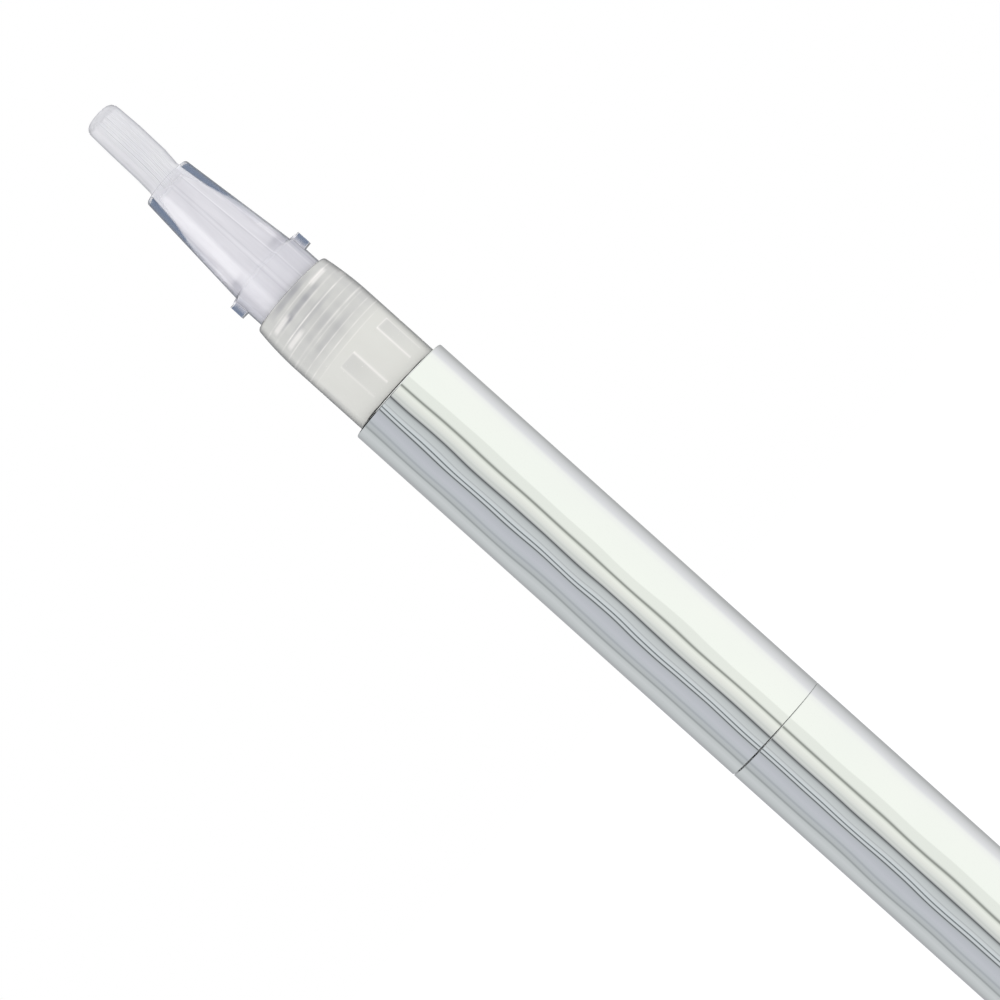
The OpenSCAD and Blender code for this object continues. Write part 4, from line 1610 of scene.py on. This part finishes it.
@dataclass
class Brush:
    """The bundle of nylon filaments and the disc that their roots are fused to."""

    filament_r: float = 0.041
    layer: float = 0.074
    full_r: float = 1.86
    root_z: float = 103.7
    disc_low: float = 103.225
    disc_high: float = 103.975
    disc_r: float = 2.6
    disc_bore: float = 0.53
    tip_z: float = 127.0
    dome: float = 0.75
    dome_power: float = 4.0
    lean: float = 0.31
    lean_from: float = 118.45
    lean_over: float = 1.5
    jitter: float = 0.008
    seed: int = 7
    levels: Tuple[float, ...] = (103.7, 105.5, 107.4, 109.9, 111.8, 113.6, 116.0, 117.5, 118.5)
    levels_out: Tuple[float, ...] = (119.4, 121.0, 124.2, 126.6, 127.0)
    mouth_z: float = 118.5
    # Most strength of the painted outline shade past the mouth, and the length over which it comes
    # in
    outline_shade_most: float = 0.75
    outline_shade_fade: float = 0.4
    # Radius of the bundle, and of the hole for the feed tube, at some heights
    heights: Tuple[float, ...] = (103.5, 107.4, 109.9, 113.6, 118.3, 118.6, 121.3, 124.5, 127.1)
    outer: Tuple[float, ...] = (1.84, 1.86, 2.4, 2.36, 1.87, 1.77, 1.85, 1.82, 1.70)
    inner: Tuple[float, ...] = (0.58, 0.58, 0.58, 0.55, 0.1, 0.1, 0.0, 0.0, 0.0)
    # Neighbours of one layer lie this many filament radii apart, middle to middle
    apart: float = 2.02
    # How far a filament may sink below its layer, as a share of the layer, inside and outermost
    sink: float = 0.35
    sink_outer: float = 0.15
    dome_full: float = 0.985
    end_spread: float = 0.015
    sway_from: float = 0.6
    sway_waves: float = 3.0
    sway_start: float = 90.0
    twist: float = 0.015
    twist_waves: float = 4.0
    twist_start: float = 80.0
    sides: int = 4
    tip_share: float = 0.6
    core_depth: float = 0.13
    core_end: float = 126.4
    core_rows: int = 60
    core_gap: float = 0.03
    disc_edge: float = 0.1
    disc_bore_edge: float = 0.05
    columns: int = 96

    def places(self, rng: np.random.Generator) -> Tuple[np.ndarray, np.ndarray]:
        """Places of the filaments in the full bundle, in layers that lie close together.

        Args:
            rng: Random numbers.

        Returns:
            Share of the bundle's radius, and angle, of each filament.
        """
        shares, angles = [], []
        for k in range(int(self.full_r / self.layer)):
            r = self.full_r - self.filament_r - k * self.layer
            count = max(1, int(2 * math.pi * r / (self.apart * self.filament_r)))
            turn = rng.uniform(0, 2 * math.pi)
            angles.append(turn + np.arange(count) * 2 * math.pi / count)
            sink = self.sink if k else self.sink_outer
            spread = rng.uniform(-1, 0, count) * sink * self.layer
            shares.append((r + spread) / (self.full_r - self.filament_r))
        return np.concatenate(shares), np.concatenate(angles)

    def leaned(self, z: np.ndarray) -> np.ndarray:
        """How far the free bundle leans to one side: fast past the mouth, then hardly more.

        Args:
            z: Heights.

        Returns:
            The shift along X at each height: most of it within lean_over of the mouth.
        """
        return self.lean * (1 - np.exp(-np.maximum(z - self.lean_from, 0) / self.lean_over))

    def paint(self, piece: Piece, turn: np.ndarray, z: np.ndarray, ahead: np.ndarray) -> None:
        """Stores the bundle's outward direction, and where its painted outline shade may show, on a
        piece.

        Args:
            piece: The object.
            turn: Angle of each vertex about the axis, in radians.
            z: Height of each vertex.
            ahead: How far each direction tips forward, from 0 to 1.
        """
        flat = np.sqrt(1 - ahead**2)
        out = np.stack([flat * np.cos(turn), flat * np.sin(turn), ahead], axis=1)
        made = piece.data.attributes.new("out", "FLOAT_VECTOR", "POINT")
        made.data.foreach_set("vector", out.astype(np.float32).ravel())
        free = np.clip((z - self.mouth_z + self.outline_shade_fade / 2) / self.outline_shade_fade, 0, 1)
        paint_layer(piece, "edge", self.outline_shade_most * free)

    def filaments(self) -> None:
        """Runs each filament through the bundle at its own share of the bundle's radius."""
        rng = np.random.default_rng(self.seed)
        share, angle = self.places(rng)
        count = len(share)
        end = self.tip_z - self.dome * (1 - np.sqrt(1 - share**self.dome_power * self.dome_full))
        end = end - np.abs(rng.normal(0, self.end_spread, count))
        levels = np.array(self.levels + self.levels_out)
        rows = len(levels)
        steps = (levels - self.root_z) / (self.tip_z - self.root_z)
        z = self.root_z + (end[:, None] - self.root_z) * steps[None, :]
        outer = np.interp(z, self.heights, self.outer) - self.filament_r
        inner = np.interp(z, self.heights, self.inner) + self.filament_r
        r = np.sqrt(inner**2 + share[:, None] ** 2 * (outer**2 - inner**2))
        sway = rng.normal(0, self.jitter, (count, 3))
        wave = np.sin(self.sway_waves * steps + sway[:, 1:2] * self.sway_start)
        r = np.clip(r + sway[:, 0:1] * wave * (steps > self.sway_from), 0, outer)
        wave = np.sin(self.twist_waves * steps + sway[:, 2:3] * self.twist_start)
        turn = angle[:, None] + self.twist * wave
        centre = np.stack([r * np.cos(turn) + self.leaned(z), r * np.sin(turn), z], axis=2)
        around = even_turns(self.sides)[None, :] + angle[:, None]
        offset = np.stack([np.cos(around), np.sin(around), 0 * around], axis=2)
        width = self.filament_r * np.ones(rows)
        width[-1] *= self.tip_share
        points = centre[:, :, None, :] + width[None, :, None, None] * offset[:, None, :, :]
        root_end = np.arange(self.sides)
        tip_end = root_end + self.sides * (rows - 1)
        one = np.vstack([grid_faces(rows, self.sides, False), root_end[::-1], tip_end])
        faces = self.sides * rows * np.arange(count)[:, None, None] + one[None, :, :]
        self.piece = mesh_object("brush_filaments", points.reshape(-1, 3), faces.reshape(-1, 4))
        # The tips' directions point along the pen, so the painted outline shade also greys the end
        # of the tip
        ahead = np.zeros(z.shape)
        ahead[:, -1] = 1 - share**4
        self.paint(self.piece, *(np.repeat(v.ravel(), self.sides) for v in (turn, z, ahead)))

    def root_disc(self) -> None:
        """Turns the disc that the roots are fused to, with the hole for the feed tube."""
        outline = [
            (self.disc_r, self.disc_low, self.disc_edge),
            (self.disc_r, self.disc_high, self.disc_edge),
            (self.disc_bore, self.disc_high, self.disc_bore_edge),
            (self.disc_bore, self.disc_low, self.disc_bore_edge),
        ]
        grid = turned_grid(rounded(outline), even_turns(self.columns))
        self.root = ring("brush_root", grid)

    def core_wall(self) -> None:
        """Turns a smooth inner bundle just under the filaments, so no light falls through."""
        tall = np.linspace(self.root_z, self.core_end, self.core_rows)
        wide = np.interp(tall, self.heights, self.outer) - self.core_depth
        thin = np.full(self.core_rows, self.disc_bore + self.core_gap)
        wall = np.stack([np.concatenate([wide, thin]), np.concatenate([tall, tall[::-1]])], axis=1)
        angles = even_turns(self.columns)
        grid = turned_grid(wall, angles)
        grid[:, :, 0] += self.leaned(wall[:, 1])[:, None]
        self.core = ring("brush_core", grid)
        turn, z = np.broadcast_arrays(angles[None, :], wall[:, 1:2])
        self.paint(self.core, turn.ravel(), z.ravel(), np.zeros(z.size))

    def build(self) -> None:
        """Makes the filaments, the disc at their roots and the inner bundle."""
        self.filaments()
        self.root_disc()
        self.core_wall()

    def dress(self) -> None:
        """Nylon in place of the thicker strands of the solid."""
        place(self.piece, Body.BARREL, Finish.BRISTLES, "brush")
        place(self.root, Body.BARREL, Finish.BRISTLES)
        place(self.core, Body.BARREL, Finish.BRISTLES)


@dataclass
class Works:
    """The pieces whose solids are shown as they are."""

    nodes: Dict[str, Piece] = field(default_factory=dict)

    def dress(self) -> None:
        """Gives each solid its finish."""
        for name, finish in NODE_FINISH.items():
            solid = self.nodes[name]
            material = material_of(finish)
            if not solid.data.materials:
                solid.data.materials.append(material)
            for i in range(len(solid.data.materials)):
                solid.data.materials[i] = material
            LOG.info("%s: %s", name, material.name)


# Studio


@dataclass(frozen=True)
class Panel:
    """One place on the light tent that the barrel mirrors.

    at is the place across the barrel's picture, from -1 at its upper edge to 1 at its lower
    edge, and tone the grey or tinted light that is seen there.
    """

    at: float
    tone: str


PANELS: Tuple[Panel, ...] = (
    Panel(-1.0, "a2a3a4"),
    Panel(-0.97, "b0b1b2"),
    Panel(-0.93, "c6c7c9"),
    Panel(-0.88, "d6d6d9"),
    Panel(-0.83, "e0e0e4"),
    Panel(-0.78, "f2f3f1"),
    Panel(-0.7, "f6f8f3"),
    Panel(-0.3, "f6f9f3"),
    Panel(-0.28, "e8ebe5"),
    Panel(-0.15, "e8ebe5"),
    Panel(-0.13, "dcdfda"),
    Panel(-0.105, "8c8f8a"),
    Panel(-0.09, "9c9f9a"),
    Panel(-0.07, "dcdfd8"),
    Panel(-0.04, "eceee8"),
    Panel(0.02, "e4e5e0"),
    Panel(0.06, "dcdedb"),
    Panel(0.09, "cccfcc"),
    Panel(0.12, "d2d4d2"),
    Panel(0.142, "b8babb"),
    Panel(0.158, "484b4e"),
    Panel(0.174, "8c8f91"),
    Panel(0.2, "b8bcbe"),
    Panel(0.25, "c4c8ca"),
    Panel(0.29, "c8ccce"),
    Panel(0.305, "b0b4b7"),
    Panel(0.32, "cccfd2"),
    Panel(0.36, "d0d6da"),
    Panel(0.376, "3c4246"),
    Panel(0.392, "c8cdd1"),
    Panel(0.42, "ccd0d4"),
    Panel(0.437, "363c40"),
    Panel(0.454, "b0b4b8"),
    Panel(0.48, "b8bbc2"),
    Panel(0.58, "c0c2ca"),
    Panel(0.65, "bcc0c6"),
    Panel(0.68, "a8acb2"),
    Panel(0.71, "b8bcc0"),
    Panel(0.75, "b4b8bb"),
    Panel(0.775, "989c9f"),
    Panel(0.8, "c0c4c6"),
    Panel(0.86, "c8cbce"),
    Panel(0.93, "bcc0c2"),
    Panel(0.97, "acaeb1"),
    Panel(1.0, "a2a4a7"),
)


@dataclass(frozen=True)
class Side:
    """One place on the wall that light through the clear plastic meets.

    at is the angle from the camera, in degrees, and tone what is seen there.
    """

    at: float
    tone: str


SURROUND: Tuple[Side, ...] = (
    Side(0, "f2f2f8"),
    Side(70, "ececf2"),
    Side(84, "5c6a80"),
    Side(140, "6c7a92"),
    Side(180, "69768e"),
)


# Matt painted board: nearly white and without gloss, so only the pen's shadow shows on it
FLOOR = Moulded(
    "pale_floor",
    ("fafafa", "fdfdfd"),
    (0.8, 0.9),
    grain_mm=3.0,
    grain_depth_mm=0.0,
    cloud_mm=400.0,
    shine=0.0,
)


@dataclass
class Studio:
    """Pale floor, white surroundings and a round light tent whose panels the metal mirrors.

    Sizes are in metres here.
    """

    tent_r: float = 1.2
    tent_low: float = -1.2
    tent_high: float = 0.6
    tent_top: float = 2.0
    tent_gap: float = 0.02
    tent_hole: float = 0.01
    tent_columns: int = 1440
    strip_dark: str = "1c1c1e"
    strip_light: str = "dcdedb"
    strip_from: float = -0.1
    strip_over: float = 0.4
    below_share: float = 0.55
    metal_share: float = 0.915
    surround_columns: int = 360
    floor_r: float = 3.0
    floor_t: float = 0.002
    floor_columns: int = 96
    sky: float = 1.12
    sky_tone: str = "fbfbfd"
    lens: float = 171.0
    eye: Tuple[float, float, float] = (0.0001, -0.4196, 0.06605)
    aim: Tuple[float, float, float] = (-0.00123, 0.0, 0.07765)
    roll: float = math.radians(48.08)
    nearest: float = 0.01
    farthest: float = 20.0

    def wall(
        self, name: str, rows: Sequence[np.ndarray], tones: Sequence[np.ndarray], hidden: str
    ) -> Piece:
        """Makes a wall of light round the pen, with a colour at each vertex.

        Args:
            name: Name of the object.
            rows: Points of each row, from the lowest up.
            tones: Linear colours of each row's points.
            hidden: Kinds of ray that don't meet the wall, with spaces between.

        Returns:
            The object.
        """
        columns = len(rows[0])
        mesh = bpy.data.meshes.new(name)
        faces = grid_faces(len(rows), columns, False)
        mesh.from_pydata(np.vstack(rows).tolist(), [], faces.tolist())
        light = mesh.color_attributes.new("light", "FLOAT_COLOR", "POINT")
        rgba = np.ones((len(rows) * columns, 4), np.float32)
        rgba[:, :3] = np.vstack(tones)
        light.data.foreach_set("color", rgba.ravel())
        made = in_scene(name, mesh)
        for way in hidden.split():
            setattr(made, "visible_" + way, False)
        return made

    def tent(self) -> None:
        """Round wall whose light follows the panels, with a strip above for the sleeves' rims.

        The strip is dark on the side of the darker panels. The panels run on below, getting
        darker towards the middle, which is what the metal mirrors when it is seen from above.

        A barrel that faces the camera mirrors, at the lateral share u of its radius, the
        direction that lies 2 asin(u) round from the camera, so a panel seen at the place t
        stands at that angle for u = -t.
        """
        places = np.array([2 * math.asin(-p.at) for p in PANELS])[::-1]
        tones = np.array([srgb(p.tone)[:3] for p in PANELS])[::-1]
        turn = np.linspace(-math.pi, math.pi, self.tent_columns, endpoint=False)
        colours = np.stack([np.interp(turn, places, tones[:, i]) for i in range(3)], axis=1)
        x, y = self.tent_r * np.sin(turn), -self.tent_r * np.cos(turn)
        hole = self.tent_hole
        rows = [np.stack([hole * x, hole * y, self.tent_low + 0 * x], axis=1)]
        for z in (self.tent_low, self.tent_high, self.tent_high + self.tent_gap, self.tent_top):
            rows.append(np.stack([x, y, z + 0 * x], axis=1))
        share = np.clip((turn - self.strip_from) / self.strip_over, 0, 1)[:, None]
        strip = np.array(srgb(self.strip_dark)[:3]) * (1 - share)
        strip = strip + np.array(srgb(self.strip_light)[:3]) * share
        below = colours * self.below_share
        tent = self.wall(
            "tent",
            rows,
            [below, colours, colours, strip, strip],
            "camera diffuse transmission shadow volume_scatter",
        )
        material, tree = empty_material("tent_light")
        tone = node(tree, "ShaderNodeVertexColor", layer_name="light")
        shine = node(
            tree,
            "ShaderNodeEmission",
            {"Strength": 1 / self.metal_share},
            {"Color": tone.outputs["Color"]},
        )
        node(tree, "ShaderNodeOutputMaterial", links={"Surface": shine.outputs["Emission"]})
        tent.data.materials.append(material)

    def surround(self) -> None:
        """Round wall that only light through the clear plastic meets.

        Its tone goes from the front to the back by the angle from the camera, alike on both
        sides. Light that has already left a piece meets plain daylight there instead.
        """
        turn = np.linspace(-math.pi, math.pi, self.surround_columns, endpoint=False)
        places = np.radians([p.at for p in SURROUND])
        tones = np.array([srgb(p.tone)[:3] for p in SURROUND])
        colours = np.stack([np.interp(np.abs(turn), places, tones[:, i]) for i in range(3)], axis=1)
        r = self.tent_r - self.tent_gap
        x, y = r * np.sin(turn), -r * np.cos(turn)
        wall = self.wall(
            "surround",
            [np.stack([x, y, z + 0 * x], axis=1) for z in (self.tent_low, self.tent_high)],
            [colours, colours],
            "camera glossy diffuse shadow volume_scatter",
        )
        material, tree = empty_material("surround_light")
        tone = node(tree, "ShaderNodeVertexColor", layer_name="light")
        path = node(tree, "ShaderNodeLightPath")
        spread = node(
            tree,
            "ShaderNodeMath",
            {1: 0.5},
            {0: path.outputs["Diffuse Depth"]},
            operation="GREATER_THAN",
        )
        seen = node(tree, "ShaderNodeEmission", {"Strength": 1.0}, {"Color": tone.outputs["Color"]})
        lit = node(tree, "ShaderNodeEmission", {"Color": srgb(self.sky_tone), "Strength": self.sky})
        whole = node(
            tree,
            "ShaderNodeMixShader",
            links={
                0: spread.outputs["Value"],
                1: seen.outputs["Emission"],
                2: lit.outputs["Emission"],
            },
        )
        node(tree, "ShaderNodeOutputMaterial", links={"Surface": whole.outputs["Shader"]})
        wall.data.materials.append(material)

    def floor(self) -> None:
        """Plain pale floor that keeps the pen's shadow."""
        r, low = self.floor_r / MM, -self.floor_t / MM
        outline = np.array([[0, 0], [r, 0], [r, low], [0, low]])
        piece = disc("floor", outline, self.floor_columns)
        piece.data.polygons.foreach_set("use_smooth", [False] * len(piece.data.polygons))
        piece.data.materials.append(FLOOR.make())
        piece.visible_glossy = False

    def world(self) -> None:
        """White surroundings for the camera, and a level of its own for the light from above."""
        world = bpy.data.worlds.new("studio")
        world.use_nodes = True
        tree = world.node_tree
        tree.nodes.clear()
        path = node(tree, "ShaderNodeLightPath")
        seen = node(tree, "ShaderNodeBackground", {"Color": (1, 1, 1, 1), "Strength": 1.0})
        lit = node(
            tree, "ShaderNodeBackground", {"Color": srgb(self.sky_tone), "Strength": self.sky}
        )
        whole = node(
            tree,
            "ShaderNodeMixShader",
            links={
                0: path.outputs["Is Camera Ray"],
                1: lit.outputs["Background"],
                2: seen.outputs["Background"],
            },
        )
        node(tree, "ShaderNodeOutputWorld", links={"Surface": whole.outputs["Shader"]})
        bpy.context.scene.world = world

    def camera(self) -> None:
        """Camera in front of the pen, rolled so that the pen lies across the picture."""
        eye, aim = Vector(self.eye), Vector(self.aim)
        ahead = (aim - eye).normalized()
        side = ahead.cross(Vector((0, 0, 1))).normalized()
        above = side.cross(ahead)
        right = math.cos(self.roll) * side - math.sin(self.roll) * above
        up = math.sin(self.roll) * side + math.cos(self.roll) * above
        data = bpy.data.cameras.new("camera")
        data.lens = self.lens
        data.sensor_width = 36.0
        data.clip_start = self.nearest
        data.clip_end = self.farthest
        made = in_scene("camera", data)
        turn = Matrix((right, up, -ahead)).transposed().to_4x4()
        made.matrix_world = Matrix.Translation(eye) @ turn
        bpy.context.scene.camera = made

    def build(self) -> None:
        """Sets up the whole studio."""
        self.tent()
        self.surround()
        self.floor()
        self.world()
        self.camera()


def main() -> None:
    """Builds the pen's looks and its studio."""
    logging.basicConfig(level=logging.INFO, format="%(message)s")
    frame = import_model()
    parts = [
        Sleeve(
            "front_sleeve", Body.BARREL, 46.13, 90.8, low_edge=0.05, high_edge=0.15, slant=0.045
        ),
        Sleeve("knob_sleeve", Body.KNOB, 0.85, 46.08, low_edge=0.15, high_edge=0.1),
        TailPlug(),
        Ferrule(),
        Collar(),
        Brush(),
    ]
    for part in parts:
        part.build()
        part.dress()
        LOG.info("%s: built and dressed", type(part).__name__)
    Works(frame["nodes"]).dress()
    Studio().build()
    bpy.context.scene.view_settings.view_transform = "Standard"


if __name__ == "__main__":
    main()
